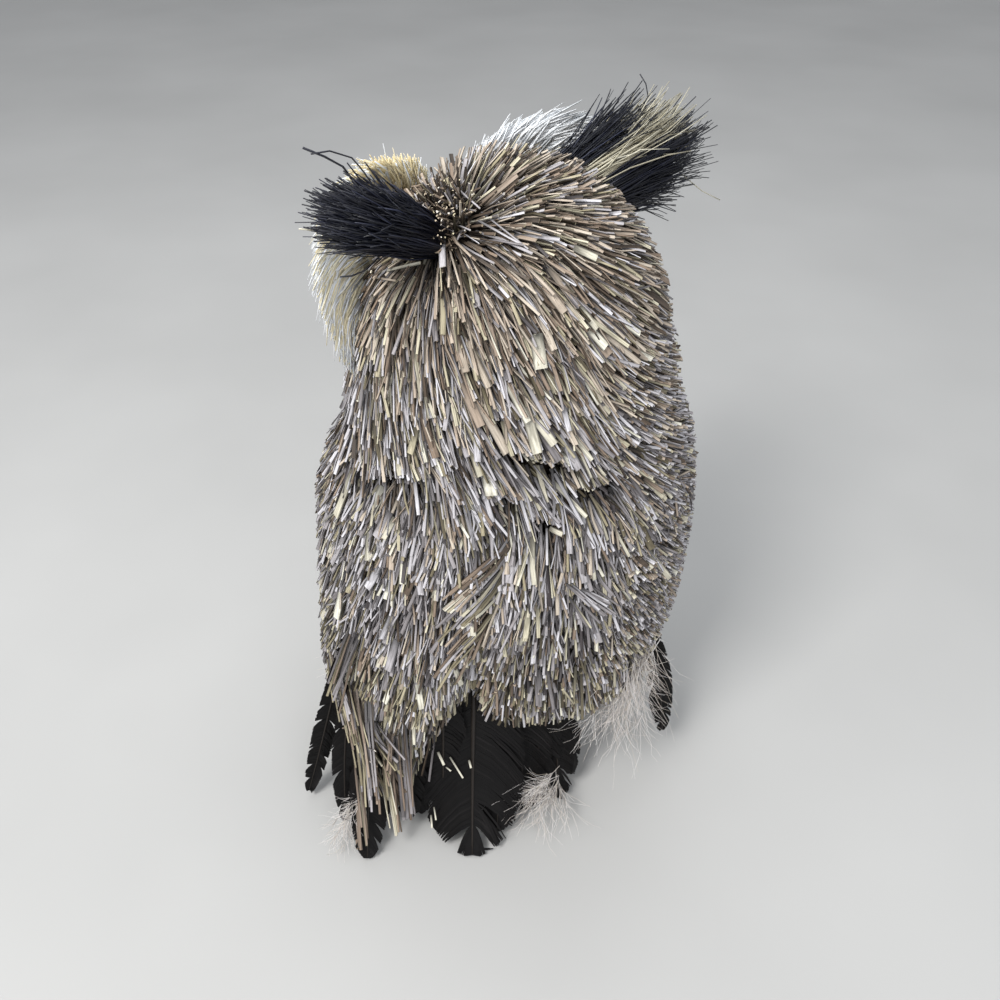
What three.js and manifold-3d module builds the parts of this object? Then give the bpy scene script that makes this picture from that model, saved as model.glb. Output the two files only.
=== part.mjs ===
// A folk-craft owl: an egg of thatched plant bristles that stands on two feet, with its head turned
// over its left shoulder. Millimetres, +Z up. The owl faces -Y and its own left side is +X.
// The origin lies on the ground, in the middle of the owl's outer box.
import * as THREE from "three";
import { mergeVertices } from "three/addons/utils/BufferGeometryUtils.js";
import Module from "manifold-3d";

const wasm = await Module();
wasm.setup();

// Whole figure
const AXIS = { x: -3.4, y: -8.2 }; // where the body's upright axis stands
const BOX_MIDDLE = { x: 3, y: 4.3 }; // middle of the outer box, which becomes the origin
const GAP = 0.35; // clearance between two pieces that touch
const DEG = Math.PI / 180;
const TURN = Math.PI * 2;

// Torso and head, one bristle-covered egg
const TORSO = { mid: 88, halfHeight: 76, halfWidth: 49.5 };
const HEAD = { mid: 151, halfHeight: 51, halfWidth: 40.5 };
const NECK_BLEND = 15; // how softly the head runs into the torso
const TORSO_DEPTH = 0.86; // depth over width, low on the torso
const HEAD_DEPTH = 0.95; // depth over width, at the head
const HEAD_TURN = 38 * DEG; // the face looks this far towards the owl's left
const HEAD_PUSH = { x: -0.8, y: 2 }; // the head's axis, measured from the torso's

// Thatch: overlapping tiers of bristle locks
const TIER_STEP = 19; // length of bristle that shows in one tier
const TIER_LIFT = 2.6; // how far the blunt ends stand off the tier below
const TIER_UNDERCUT = 0.9; // height of the shadow step under a tier
const TIER_JAG = 2.4; // uneven length from lock to lock
const LOCK_RIDGE = 0.7; // roundness of one lock
const BODY_LOCKS = 28;

// Wings, pads of the same thatch over the flanks
const WING_LOCKS = 10;
const WING_TIERS = 6;
const WING_THICK = 7.2;
const WING_LEAST = 1.2; // least thickness, at a wing's edges
const WING_TOP_SHARE = 0.2; // the pad is thin at the shoulder and thickens over this run
const WING_TOP_RUN = 0.33;
const WING_RAG = 0.022; // uneven tier edges, as a share of the wing's length
const WING_UNDERCUT = 0.006;

// Ear tufts, stiff flat brushes
const EAR_SINK = 4; // how deep an ear's binding sits in the head
const EAR_LOCKS = 9;

// Face
const EYE_HEIGHT = 173;
const EYE_SPREAD = 27 * DEG; // each side of the middle of the face
const EYE_RADIUS = 7;
const DISC_LOCKS = 18;
const EYE_BULGE = 4.4;
const EYE_SEAT = 2.2; // how deep the eye's rim sits below the middle of its disc
const DISC_SPLAY = 13 * DEG; // each disc faces this far outward
const DISC_REACH = 23; // from the eye's middle to the rim
const DISC_LEAN = 11.5; // longer away from the beak, shorter beside it
const DISC_LOBE = 2.5;
const DISC_BROW = 5; // extra reach of the brow that runs up to the ear
const DISC_DROOP = 170; // larger is flatter
const BEAK_LENGTH = 17;
const BEAK_HALF = 4.4;

// Feathers and feet
const VANE_THICK = 1.1;
const VANE_CAMBER = 0.16;
const VANE_BLUNT = 5; // larger is a squarer tip
const SHAFT_RISE = 0.5;
const FOOT_SPREAD = 20; // each foot's distance from the middle
const FOOT_REACH = -9; // the ankles stand this far to the front of the body's axis
const SHANK_HEIGHT = 30;
const TOE_LENGTH = 25;
const SOLE_HALF = 6; // the flat pad under each ankle

const STRAW = { color: 0x938b80, roughness: 0.85, metalness: 0 };
const CREAM = { color: 0xcfc8b4, roughness: 0.7, metalness: 0 };
const INK = { color: 0x17181f, roughness: 0.55, metalness: 0 };
const PLUME = { color: 0x14110f, roughness: 0.6, metalness: 0 };
const DOWN = { color: 0xb9ada2, roughness: 0.95, metalness: 0 };
const AMBER = { color: 0xc9810f, roughness: 0.08, metalness: 0 };
const HORN = { color: 0x1c1916, roughness: 0.4, metalness: 0 };

// A repeatable uneven number between -1 and 1 for each pair of whole numbers.
function uneven(i, j = 0) {
  const wave = Math.sin(i * 12.9898 + j * 78.233 + 4.1) * 43758.5453;
  return (wave - Math.floor(wave)) * 2 - 1;
}

function mix(a, b, t) {
  return a + (b - a) * t;
}

function smooth(low, high, value) {
  const t = Math.min(1, Math.max(0, (value - low) / (high - low)));
  return t * t * (3 - 2 * t);
}

// Closed solids

// Rings of equal count become one closed skin. A single point closes each end, or the last ring is
// joined back to the first when the skin is a hoop.
function skin(rings, options = {}) {
  const count = rings[0].length;
  const positions = rings.flat().flatMap((p) => [p.x, p.y, p.z]);
  const faces = [];
  const bands = options.hoop ? rings.length : rings.length - 1;
  for (let r = 0; r < bands; r += 1) {
    const above = r * count;
    const below = ((r + 1) % rings.length) * count;
    for (let c = 0; c < count; c += 1) {
      const d = (c + 1) % count;
      faces.push(above + c, below + c, below + d);
      faces.push(above + c, below + d, above + d);
    }
  }
  if (!options.hoop) {
    const ends = [
      { at: options.start, base: 0, flip: false },
      { at: options.end, base: (rings.length - 1) * count, flip: true },
    ];
    for (const { at, base, flip } of ends) {
      const tip = positions.length / 3;
      positions.push(at.x, at.y, at.z);
      for (let c = 0; c < count; c += 1) {
        const d = (c + 1) % count;
        faces.push(tip, base + (flip ? d : c), base + (flip ? c : d));
      }
    }
  }
  const geometry = new THREE.BufferGeometry();
  geometry.setAttribute("position", new THREE.Float32BufferAttribute(positions, 3));
  geometry.setIndex(faces);
  return facingOut(geometry);
}

function facingOut(geometry) {
  const place = geometry.attributes.position;
  const index = geometry.index.array;
  const corner = [0, 1, 2].map(() => new THREE.Vector3());
  let volume = 0;
  for (let i = 0; i < index.length; i += 3) {
    corner.forEach((v, k) => v.fromBufferAttribute(place, index[i + k]));
    volume += corner[0].dot(corner[1].cross(corner[2]));
  }
  if (volume > 0) {
    return geometry;
  }
  for (let i = 0; i < index.length; i += 3) {
    [index[i], index[i + 1]] = [index[i + 1], index[i]];
  }
  return geometry;
}

function toSolid(source) {
  const bare = source.clone();
  bare.deleteAttribute("normal");
  bare.deleteAttribute("uv");
  const merged = mergeVertices(bare, 1e-4);
  return new wasm.Manifold(
    new wasm.Mesh({
      numProp: 3,
      vertProperties: new Float32Array(merged.attributes.position.array),
      triVerts: new Uint32Array(merged.index.array),
    }),
  );
}

function toGeometry(solid) {
  const mesh = solid.getMesh();
  const geometry = new THREE.BufferGeometry();
  geometry.setAttribute("position", new THREE.BufferAttribute(mesh.vertProperties, 3));
  geometry.setIndex(new THREE.BufferAttribute(mesh.triVerts, 1));
  return geometry;
}

function cut(geometry, ...tools) {
  let solid = toSolid(geometry);
  for (const tool of tools) {
    solid = solid.subtract(toSolid(tool));
  }
  // Small slivers that a cut leaves beside the main piece are dropped.
  const bits = solid.decompose();
  bits.sort((a, b) => b.volume() - a.volume());
  return toGeometry(bits[0]);
}

const owl = new THREE.Group();
owl.name = "owl";

function add(name, geometry, finish) {
  const mesh = new THREE.Mesh(geometry, new THREE.MeshStandardMaterial(finish));
  mesh.name = name;
  owl.add(mesh);
  return mesh;
}

// The egg's form

function eggRadius(height, egg) {
  const t = (height - egg.mid) / egg.halfHeight;
  return Math.abs(t) < 1 ? egg.halfWidth * Math.sqrt(1 - t * t) : 0;
}

// Half of the body's width at a height: the torso egg and the head egg, softly joined.
function bodyRadius(height) {
  const torso = eggRadius(height, TORSO);
  const head = eggRadius(height, HEAD);
  const spare = Math.max(0, NECK_BLEND * 2 - Math.abs(torso - head));
  const inside = Math.min(1, Math.min(torso, head) / NECK_BLEND);
  return Math.max(torso, head) + (spare * spare * inside) / (NECK_BLEND * 8);
}

function bodyDepth(height) {
  return mix(TORSO_DEPTH, HEAD_DEPTH, smooth(110, 165, height));
}

// The egg's outline from the crown down to the underside, measured along its skin.
const OUTLINE = (() => {
  const top = HEAD.mid + HEAD.halfHeight;
  const bottom = TORSO.mid - TORSO.halfHeight;
  const steps = 600;
  const table = [];
  let along = 0;
  for (let i = 0; i <= steps; i += 1) {
    const height = mix(top, bottom, (1 - Math.cos((i / steps) * Math.PI)) / 2);
    const radius = bodyRadius(height);
    const last = table.at(-1);
    along += last ? Math.hypot(height - last.height, radius - last.radius) : 0;
    table.push({ along, height, radius });
  }
  return table;
})();
const OUTLINE_LENGTH = OUTLINE.at(-1).along;

function outlineAt(along) {
  const wanted = Math.min(OUTLINE_LENGTH, Math.max(0, along));
  const next = Math.max(1, OUTLINE.findIndex((row) => row.along >= wanted));
  const a = OUTLINE[next - 1];
  const b = OUTLINE[next];
  const t = (wanted - a.along) / (b.along - a.along || 1);
  const slope = Math.hypot(b.height - a.height, b.radius - a.radius) || 1;
  return {
    height: mix(a.height, b.height, t),
    radius: mix(a.radius, b.radius, t),
    out: (a.height - b.height) / slope,
    up: (b.radius - a.radius) / slope,
  };
}

// The body's axis leans over to the head's own axis as it rises.
function axisAt(height) {
  const t = smooth(95, 175, height);
  return { x: AXIS.x + HEAD_PUSH.x * t, y: AXIS.y + HEAD_PUSH.y * t };
}

// A point on the body, turned from the middle of the back (+Y) towards the owl's left (+X), and
// lifted off the skin by grow.
function bodyPoint(turn, along, grow = 0) {
  const { height, radius, out, up } = outlineAt(along);
  const axis = axisAt(height);
  const wide = radius + grow * out;
  return new THREE.Vector3(
    axis.x + wide * Math.sin(turn),
    axis.y + wide * bodyDepth(height) * Math.cos(turn),
    height + grow * up,
  );
}

// A point beside the body at a plain height.
function flankPoint(turn, height, radius) {
  const axis = axisAt(height);
  return new THREE.Vector3(
    axis.x + radius * Math.sin(turn),
    axis.y + radius * bodyDepth(height) * Math.cos(turn),
    height,
  );
}

function eggSkin(grow, columns = 36, rows = 24) {
  const rings = [];
  for (let r = 1; r < rows; r += 1) {
    const ring = [];
    for (let c = 0; c < columns; c += 1) {
      ring.push(bodyPoint((c / columns) * TURN, (OUTLINE_LENGTH * r) / rows, grow));
    }
    rings.push(ring);
  }
  const start = bodyPoint(0, 0);
  const end = bodyPoint(0, OUTLINE_LENGTH);
  start.z += grow;
  end.z -= grow;
  return skin(rings, { start, end });
}

// Each tier starts close to the skin and ends in a blunt, ragged, overhanging edge.
function thatchedBody() {
  const tiers = Math.round(OUTLINE_LENGTH / TIER_STEP);
  const step = OUTLINE_LENGTH / tiers;
  const columns = BODY_LOCKS * 2;
  const rings = [];
  for (let tier = 0; tier < tiers; tier += 1) {
    const last = tier === tiers - 1;
    for (const edge of [0, 1]) {
      const ring = [];
      for (let c = 0; c < columns; c += 1) {
        const shifted = c + tier;
        const lock = Math.floor(shifted / 2) % BODY_LOCKS;
        const ridge = shifted % 2 ? LOCK_RIDGE : -LOCK_RIDGE;
        const rag = (row) => (row >= 0 && row < tiers - 1 ? TIER_JAG * uneven(lock, row) : 0);
        const startAt = tier * step + (tier ? rag(tier - 1) : 2.5);
        const endAt = (tier + 1) * step - TIER_UNDERCUT + rag(tier);
        const along = edge ? (last ? OUTLINE_LENGTH - 3 : endAt) : startAt;
        const lift = edge ? (last ? 0 : TIER_LIFT + ridge) : ridge * 0.4;
        ring.push(bodyPoint((c / columns) * TURN, along, lift));
      }
      rings.push(ring);
    }
  }
  return skin(rings, { start: bodyPoint(0, 0), end: bodyPoint(0, OUTLINE_LENGTH) });
}

// Wings

// A wing's plan from shoulder to tip. Each row is a height with the angles of the wing's back edge
// and front edge, turned from the middle of the back, and the radius of its seat.
const WING_LEFT = {
  side: 1,
  rows: [
    { height: 134, back: 38, front: 66, radius: 46.5 },
    { height: 124, back: 14, front: 92, radius: 49.5 },
    { height: 104, back: 9, front: 110, radius: 53.5 },
    { height: 82, back: 11, front: 110, radius: 55.5 },
    { height: 60, back: 19, front: 92, radius: 58.5 },
    { height: 37, back: 26, front: 68, radius: 62 },
    { height: 11, back: 29, front: 38, radius: 69 },
  ],
};
const WING_RIGHT = {
  side: -1,
  rows: [
    { height: 142, back: 36, front: 66, radius: 45 },
    { height: 131, back: 20, front: 94, radius: 47 },
    { height: 114, back: 10, front: 110, radius: 49 },
    { height: 96, back: -3, front: 114, radius: 50.5 },
    { height: 78, back: -17, front: 112, radius: 50.5 },
    { height: 61, back: -11, front: 92, radius: 49.5 },
    { height: 48, back: -5, front: 66, radius: 48 },
  ],
};

function wingRow(plan, t) {
  const spot = t * (plan.rows.length - 1);
  const i = Math.min(plan.rows.length - 2, Math.floor(spot));
  const a = plan.rows[i];
  const b = plan.rows[i + 1];
  const f = spot - i;
  return {
    height: mix(a.height, b.height, f),
    back: mix(a.back, b.back, f) * DEG,
    front: mix(a.front, b.front, f) * DEG,
    radius: mix(a.radius, b.radius, f),
  };
}

// The pad swells between its edges, and its tiers and locks are laid like the body's. grow makes
// it larger all round, to cut room for it out of a neighbour.
function wingPad(plan, grow) {
  const columns = WING_LOCKS * 2;
  const rings = [];
  for (let tier = 0; tier < WING_TIERS; tier += 1) {
    for (const edge of [0, 1]) {
      const outer = [];
      const inner = [];
      for (let c = 0; c <= columns; c += 1) {
        const shifted = c + tier;
        const lock = Math.floor(shifted / 2);
        const rag = (row) => (row >= 0 ? WING_RAG * uneven(lock, row + WING_TIERS) : 0);
        const t = (tier + edge) / WING_TIERS + rag(edge ? tier : tier - 1) - edge * WING_UNDERCUT;
        const { height, back, front, radius } = wingRow(plan, Math.min(1, Math.max(0, t)));
        const across = c / columns;
        const margin = ((across - 0.5) * 2 * grow) / radius;
        const turn = (mix(back, front, across) + margin) * plan.side;
        const level = height + grow * mix(1, -1, t);
        const swell = Math.sin(Math.PI * mix(0.1, 0.9, across)) ** 0.6;
        const ridge = shifted % 2 ? LOCK_RIDGE : -LOCK_RIDGE;
        const rounded = mix(WING_TOP_SHARE, 1, smooth(0, WING_TOP_RUN, t));
        const lift = (edge ? TIER_LIFT + ridge : ridge * 0.4) * rounded;
        const thick = (WING_THICK - TIER_LIFT) * swell * rounded;
        outer.push(flankPoint(turn, level, radius + thick + lift + grow));
        inner.push(flankPoint(turn, level, radius - WING_THICK));
      }
      rings.push([...outer, ...inner.reverse()]);
    }
  }
  return skin(rings, { start: middleOf(rings[0]), end: middleOf(rings.at(-1)) });
}

function middleOf(ring) {
  return ring.reduce((sum, point) => sum.add(point), new THREE.Vector3()).divideScalar(ring.length);
}

// The space under a wing, which runs on below the body to the wing's tip.
function wingSeat(plan, grow) {
  const columns = 30;
  const rings = plan.rows.map((row) =>
    Array.from({ length: columns }, (_, c) =>
      flankPoint((c / columns) * TURN, row.height, row.radius - WING_LEAST - grow),
    ),
  );
  const first = plan.rows[0];
  const final = plan.rows.at(-1);
  return skin(rings, {
    start: flankPoint(0, first.height + WING_THICK, 0),
    end: flankPoint(0, final.height - WING_THICK, 0),
  });
}

function wing(plan, grow = 0) {
  return cut(wingPad(plan, grow), wingSeat(plan, grow));
}

// Brushes: the ear tufts and the clumps of down

// A flat brush that spreads from its binding to a ragged end. across is its wide way.
function brush({ root, aim, across, length, rootHalf, tipHalf, flat, locks, rag }) {
  const along = aim.clone().normalize();
  const wide = across.clone().addScaledVector(along, -across.dot(along)).normalize();
  const thin = along.clone().cross(wide);
  const columns = locks * 2;
  const rings = [];
  for (const t of [0, 0.35, 0.75, 1]) {
    const ring = [];
    for (let c = 0; c < columns; c += 1) {
      const turn = (c / columns) * TURN;
      const ridge = c % 2 ? 1 + 0.07 * t : 1 - 0.1 * t;
      const reach = t < 1 ? t : 1 + rag * (c % 2 ? uneven(c, locks) : -1.4);
      const half = mix(rootHalf, tipHalf, t ** 0.85) * ridge;
      const point = root.clone().addScaledVector(along, length * reach);
      point.addScaledVector(wide, half * Math.cos(turn));
      point.addScaledVector(thin, half * mix(0.8, flat, t) * Math.sin(turn));
      ring.push(point);
    }
    rings.push(ring);
  }
  const end = root.clone().addScaledVector(along, length * (1 - rag * 1.5));
  return skin(rings, { start: root, end });
}

// The direction that the face looks in, turned further towards the owl's left by an angle.
function faceAim(turn = 0) {
  const whole = HEAD_TURN + turn;
  return new THREE.Vector3(Math.sin(whole), -Math.cos(whole), 0);
}

// The same direction as an angle for bodyPoint, which turns from the middle of the back.
function faceTurn(turn) {
  return Math.PI - HEAD_TURN - turn;
}

function alongAtHeight(height) {
  return OUTLINE.find((row) => row.height <= height).along;
}

// turn is measured around the head from the middle of the face, and sweep turns the tuft's aim.
const EARS = [
  {
    name: "ear_tuft_left",
    side: 1,
    turn: 97,
    height: 190.5,
    rise: 0.57,
    sweep: 2,
    bound: 6.6,
    spread: 9,
    length: 41,
  },
  {
    name: "ear_tuft_right",
    side: -1,
    turn: 90,
    height: 193.5,
    rise: 0.17,
    sweep: -6,
    bound: 8.5,
    spread: 15.5,
    length: 41,
  },
];

function earTuft({ side, turn, height, rise, sweep, bound, spread, length }) {
  const root = bodyPoint(faceTurn(side * turn * DEG), alongAtHeight(height), -EAR_SINK);
  const aim = faceAim(side * (90 + sweep) * DEG);
  aim.z = rise;
  return brush({
    root,
    aim,
    across: new THREE.Vector3(0, 0, 1).addScaledVector(faceAim(), 0.25),
    length,
    rootHalf: bound,
    tipHalf: spread,
    flat: 0.5,
    locks: EAR_LOCKS,
    rag: 0.1,
  });
}

// Clumps of down hang under the thatch: root and tip in millimetres.
const DOWN_CLUMPS = [
  { name: "down_flank_right", root: [-45, 13, 62], tip: [-50, 29, 22], half: 9 },
  { name: "down_flank_left", root: [40, -4, 52], tip: [46, 3, 16], half: 8 },
  { name: "down_tail_right", root: [-21, 33, 31], tip: [-27, 46, 7], half: 6 },
  { name: "down_tail_left", root: [44, 41, 22], tip: [54, 55, 6], half: 4.5 },
];

function downClump({ root, tip, half }) {
  const start = new THREE.Vector3(...root);
  const aim = new THREE.Vector3(...tip).sub(start);
  return brush({
    root: start,
    aim,
    across: new THREE.Vector3(1, 0, 0),
    length: aim.length(),
    rootHalf: half * 0.5,
    tipHalf: half,
    flat: 0.7,
    locks: 5,
    rag: 0.1,
  });
}

// Face

// How far a face disc's bristles reach from the eye. Angle 0 points away from the beak, and a
// quarter turn points up. They are longest towards the ear and towards the jowl.
function discReach(angle) {
  const towardsEar = Math.max(0, Math.cos(angle - 62 * DEG));
  const lobes = DISC_LOBE * Math.cos(4 * (angle - 48 * DEG));
  return DISC_REACH + DISC_LEAN * Math.cos(angle) + lobes + DISC_BROW * towardsEar ** 4;
}

function eyeSeat(side) {
  const at = bodyPoint(faceTurn(side * EYE_SPREAD), alongAtHeight(EYE_HEIGHT), TIER_LIFT);
  return {
    at,
    outward: faceAim(side * DISC_SPLAY),
    away: faceAim(side * (90 * DEG + DISC_SPLAY)),
    up: new THREE.Vector3(0, 0, 1),
  };
}

// A shallow dish of bristles around one eye, open in the middle for the eye, ragged at its rim.
function faceDisc(side) {
  const { at, outward, up, away } = eyeSeat(side);
  const columns = DISC_LOCKS * 2;
  const hole = EYE_RADIUS + GAP;
  const section = [
    { reach: 0, lift: -9 },
    { reach: 0, lift: 1.2 },
    { reach: 0.4, lift: 3 },
    { reach: 1, lift: 1.2 },
    { reach: 0.93, lift: -1.6 },
    { reach: 0.5, lift: -9 },
  ];
  const rings = section.map(({ reach, lift }) => {
    const ring = [];
    for (let c = 0; c < columns; c += 1) {
      const angle = (c / columns) * TURN;
      const rag = c % 2 ? 0.05 * uneven(c, side) : -0.06;
      const far = mix(hole, discReach(angle) * (1 + rag * reach), reach);
      const ridge = (c % 2 ? 0.5 : -0.5) * Math.min(1, reach * 2);
      const point = at.clone();
      point.addScaledVector(away, far * Math.cos(angle));
      point.addScaledVector(up, far * Math.sin(angle));
      point.addScaledVector(outward, lift + ridge - (far * far) / DISC_DROOP);
      ring.push(point);
    }
    return ring;
  });
  return skin(rings, { hoop: true });
}

function eye(side) {
  const { at, outward } = eyeSeat(side);
  const points = [new THREE.Vector2(0, -EYE_SEAT), new THREE.Vector2(EYE_RADIUS, -EYE_SEAT)];
  const steps = 5;
  for (let i = 0; i < steps; i += 1) {
    const turn = (i / steps) * 90 * DEG;
    points.push(new THREE.Vector2(EYE_RADIUS * Math.cos(turn), 1 + EYE_BULGE * Math.sin(turn)));
  }
  points.push(new THREE.Vector2(0, 1 + EYE_BULGE));
  const geometry = new THREE.LatheGeometry(points, 16);
  const stand = new THREE.Quaternion().setFromUnitVectors(new THREE.Vector3(0, 1, 0), outward);
  geometry.applyQuaternion(stand);
  geometry.translate(at.x, at.y, at.z);
  geometry.deleteAttribute("uv");
  geometry.deleteAttribute("normal");
  return facingOut(mergeVertices(geometry, 1e-3));
}

// A short hooked beak that hangs between the discs.
function beak() {
  const outward = faceAim();
  const sideways = faceAim(90 * DEG);
  const root = bodyPoint(faceTurn(0), alongAtHeight(EYE_HEIGHT - 1), TIER_LIFT);
  const rings = [];
  const steps = 6;
  for (let i = 0; i < steps; i += 1) {
    const t = i / steps;
    const middle = root.clone();
    middle.z += 3 - BEAK_LENGTH * t;
    middle.addScaledVector(outward, 9 * Math.sin(t * 130 * DEG) - 3);
    const half = BEAK_HALF * Math.sqrt(1 - t * t * 0.95);
    const ring = [];
    for (let c = 0; c < 10; c += 1) {
      const turn = (c / 10) * TURN;
      const point = middle.clone().addScaledVector(sideways, half * Math.cos(turn));
      point.addScaledVector(outward, half * 1.1 * Math.sin(turn));
      ring.push(point);
    }
    rings.push(ring);
  }
  const start = root.clone().addScaledVector(outward, -3);
  start.z += 4;
  const end = root.clone().addScaledVector(outward, 3.2);
  end.z += 3 - BEAK_LENGTH;
  return skin(rings, { start, end });
}

// Feathers

// One feather: a thin bent vane with a raised shaft, from root to tip along a curve. across is the
// way that the vane lies wide, and grow makes the feather larger, to cut room for it.
function feather({ root, bend, tip, half, across = [1, 0, 0] }, grow = 0) {
  const path = new THREE.QuadraticBezierCurve3(
    new THREE.Vector3(...root),
    new THREE.Vector3(...bend),
    new THREE.Vector3(...tip),
  );
  const wideAim = new THREE.Vector3(...across);
  const stations = 7;
  const rings = [];
  for (let i = 0; i < stations; i += 1) {
    const t = 1 - (1 - i / stations) ** 1.7;
    const middle = path.getPoint(t);
    const along = path.getTangent(t);
    const wide = wideAim.clone().addScaledVector(along, -wideAim.dot(along)).normalize();
    const face = wide.clone().cross(along).normalize();
    const rise = Math.sin(mix(0.2, 1, Math.min(1, t * 1.6)) * 90 * DEG);
    const width = half * rise * Math.sqrt(1 - t ** VANE_BLUNT) + grow;
    const thick = VANE_THICK / 2 + grow * 2;
    const ring = [-1, -0.5, 0, 0.5, 1].map((u) => {
      const shaft = u === 0 ? SHAFT_RISE : 0;
      return vanePoint({ middle, wide, face, width, u, lift: thick + shaft });
    });
    for (const u of [1, 0, -1]) {
      ring.push(vanePoint({ middle, wide, face, width, u, lift: -thick }));
    }
    rings.push(ring);
  }
  return skin(rings, { start: path.getPoint(0).lerp(path.getPoint(0.1), -0.1), end: path.getPoint(1) });
}

function vanePoint({ middle, wide, face, width, u, lift }) {
  const edge = Math.abs(u) === 1 ? 0.4 : 1;
  const point = middle.clone().addScaledVector(wide, width * u);
  return point.addScaledVector(face, lift * edge - VANE_CAMBER * width * u * u);
}

// Each feather's root, bend and tip, and half of its width.
const FEATHERS = [
  { name: "tail_feather_middle", root: [8, 27, 58], bend: [9, 40, 26], tip: [9, 61, 0.8], half: 17.5 },
  { name: "tail_feather_left", root: [14, 33, 66], bend: [24, 34, 44], tip: [30, 47, 12], half: 8 },
  { name: "tail_feather_right", root: [-5, 24, 55], bend: [-7, 31, 26], tip: [-8, 45, 2], half: 11 },
  { name: "tail_feather_outer", root: [-17, 22, 54], bend: [-19, 26, 26], tip: [-20, 40, 1.5], half: 8 },
  { name: "wing_feather_sickle", root: [49, 21, 62], bend: [57, 30, 30], tip: [66, 37, 1.5], half: 4 },
  { name: "wing_feather_narrow", root: [46, 28, 54], bend: [52, 38, 30], tip: [51, 50, 4], half: 4.5 },
  { name: "wing_feather_low", root: [38, 33, 48], bend: [43, 43, 24], tip: [43, 62, 0.8], half: 7 },
  { name: "wing_feather_right", root: [-50, 12, 56], bend: [-55, 14, 36], tip: [-57, 20, 13], half: 4.5 },
];

// Feet

// A toe runs out from the ankle along the ground and ends in a claw that bends down to it.
function toe(ankle, turn, length) {
  const aim = faceForward(turn);
  const side = new THREE.Vector3(-aim.y, aim.x, 0);
  const section = [
    { t: 0, half: 3.6, height: 2.7 },
    { t: 0.35, half: 3, height: 2.2 },
    { t: 0.68, half: 3.2, height: 2.3 },
    { t: 0.82, half: 1.7, height: 2.8 },
  ];
  const rings = section.map(({ t, half, height }) => {
    const ring = [];
    for (let c = 0; c < 6; c += 1) {
      const angle = (c / 6) * TURN;
      const point = new THREE.Vector3(ankle.x, ankle.y, height + half * Math.sin(angle));
      point.addScaledVector(aim, length * t);
      point.addScaledVector(side, half * Math.cos(angle));
      ring.push(point);
    }
    return ring;
  });
  const start = new THREE.Vector3(ankle.x, ankle.y, 2.7).addScaledVector(aim, -2);
  const end = new THREE.Vector3(ankle.x, ankle.y, 0.3).addScaledVector(aim, length);
  return skin(rings, { start, end });
}

function faceForward(turn) {
  return new THREE.Vector3(Math.sin(turn), -Math.cos(turn), 0);
}

// Three toes in front and one behind, on a shank that ends under the body, flat where they stand.
function foot(side) {
  const ankle = new THREE.Vector3(AXIS.x + side * FOOT_SPREAD, AXIS.y + FOOT_REACH, 0);
  const shank = new THREE.CylinderGeometry(3.4, 4.2, SHANK_HEIGHT, 8);
  shank.rotateX(90 * DEG);
  shank.translate(ankle.x, ankle.y, SHANK_HEIGHT / 2 + 1);
  const sole = new THREE.CylinderGeometry(SOLE_HALF * 0.7, SOLE_HALF, 5, 8);
  sole.rotateX(90 * DEG);
  sole.translate(ankle.x, ankle.y, 1.5);
  let solid = toSolid(shank).add(toSolid(sole));
  for (const spread of [-32, 0, 32]) {
    solid = solid.add(toSolid(toe(ankle, (side * 8 + spread) * DEG, TOE_LENGTH)));
  }
  solid = solid.add(toSolid(toe(ankle, (180 + side * 8) * DEG, TOE_LENGTH * 0.7)));
  const ground = new THREE.BoxGeometry(200, 200, 40);
  ground.translate(0, 0, -20);
  return cut(toGeometry(solid), ground, bodySeat);
}

// The finished owl, piece by piece. Each piece is cut clear of those that it is set against.

const bodySeat = eggSkin(TIER_LIFT + LOCK_RIDGE + GAP);
const wingRoom = [wing(WING_LEFT, GAP * 2), wing(WING_RIGHT, GAP * 2)];

add("body", thatchedBody(), STRAW);
add("wing_left", cut(wing(WING_LEFT), bodySeat, wingRoom[1]), STRAW);
add("wing_right", cut(wing(WING_RIGHT), bodySeat), STRAW);

for (const ear of EARS) {
  add(ear.name, cut(earTuft(ear), bodySeat), INK);
}

for (const [name, side] of Object.entries({ left: 1, right: -1 })) {
  add(`face_disc_${name}`, cut(faceDisc(side), bodySeat), CREAM);
  add(`eye_${name}`, cut(eye(side), bodySeat), AMBER);
  add(`foot_${name}`, foot(side), HORN);
}
add("beak", cut(beak(), bodySeat), HORN);

const featherRoom = [];
for (const plume of FEATHERS) {
  add(plume.name, cut(feather(plume), bodySeat, ...wingRoom, ...featherRoom), PLUME);
  featherRoom.push(feather(plume, GAP));
}

for (const clump of DOWN_CLUMPS) {
  add(clump.name, cut(downClump(clump), bodySeat, ...wingRoom, ...featherRoom), DOWN);
}

owl.position.set(-BOX_MIDDLE.x, -BOX_MIDDLE.y, 0);

export default owl;
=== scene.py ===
# %% [markdown]
# A folk-craft owl, covered from crown to foot in brushes of dried plant bristle.
# The solids of the owl come in as a fixed frame. This lesson dresses them with bristles, feathers
# and down, each one a real strip of mesh, so that gaps and shadows are real as well.

# %% Load the frame
import math

import bpy
import numpy as np
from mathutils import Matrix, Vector
from mathutils.bvhtree import BVHTree


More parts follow.
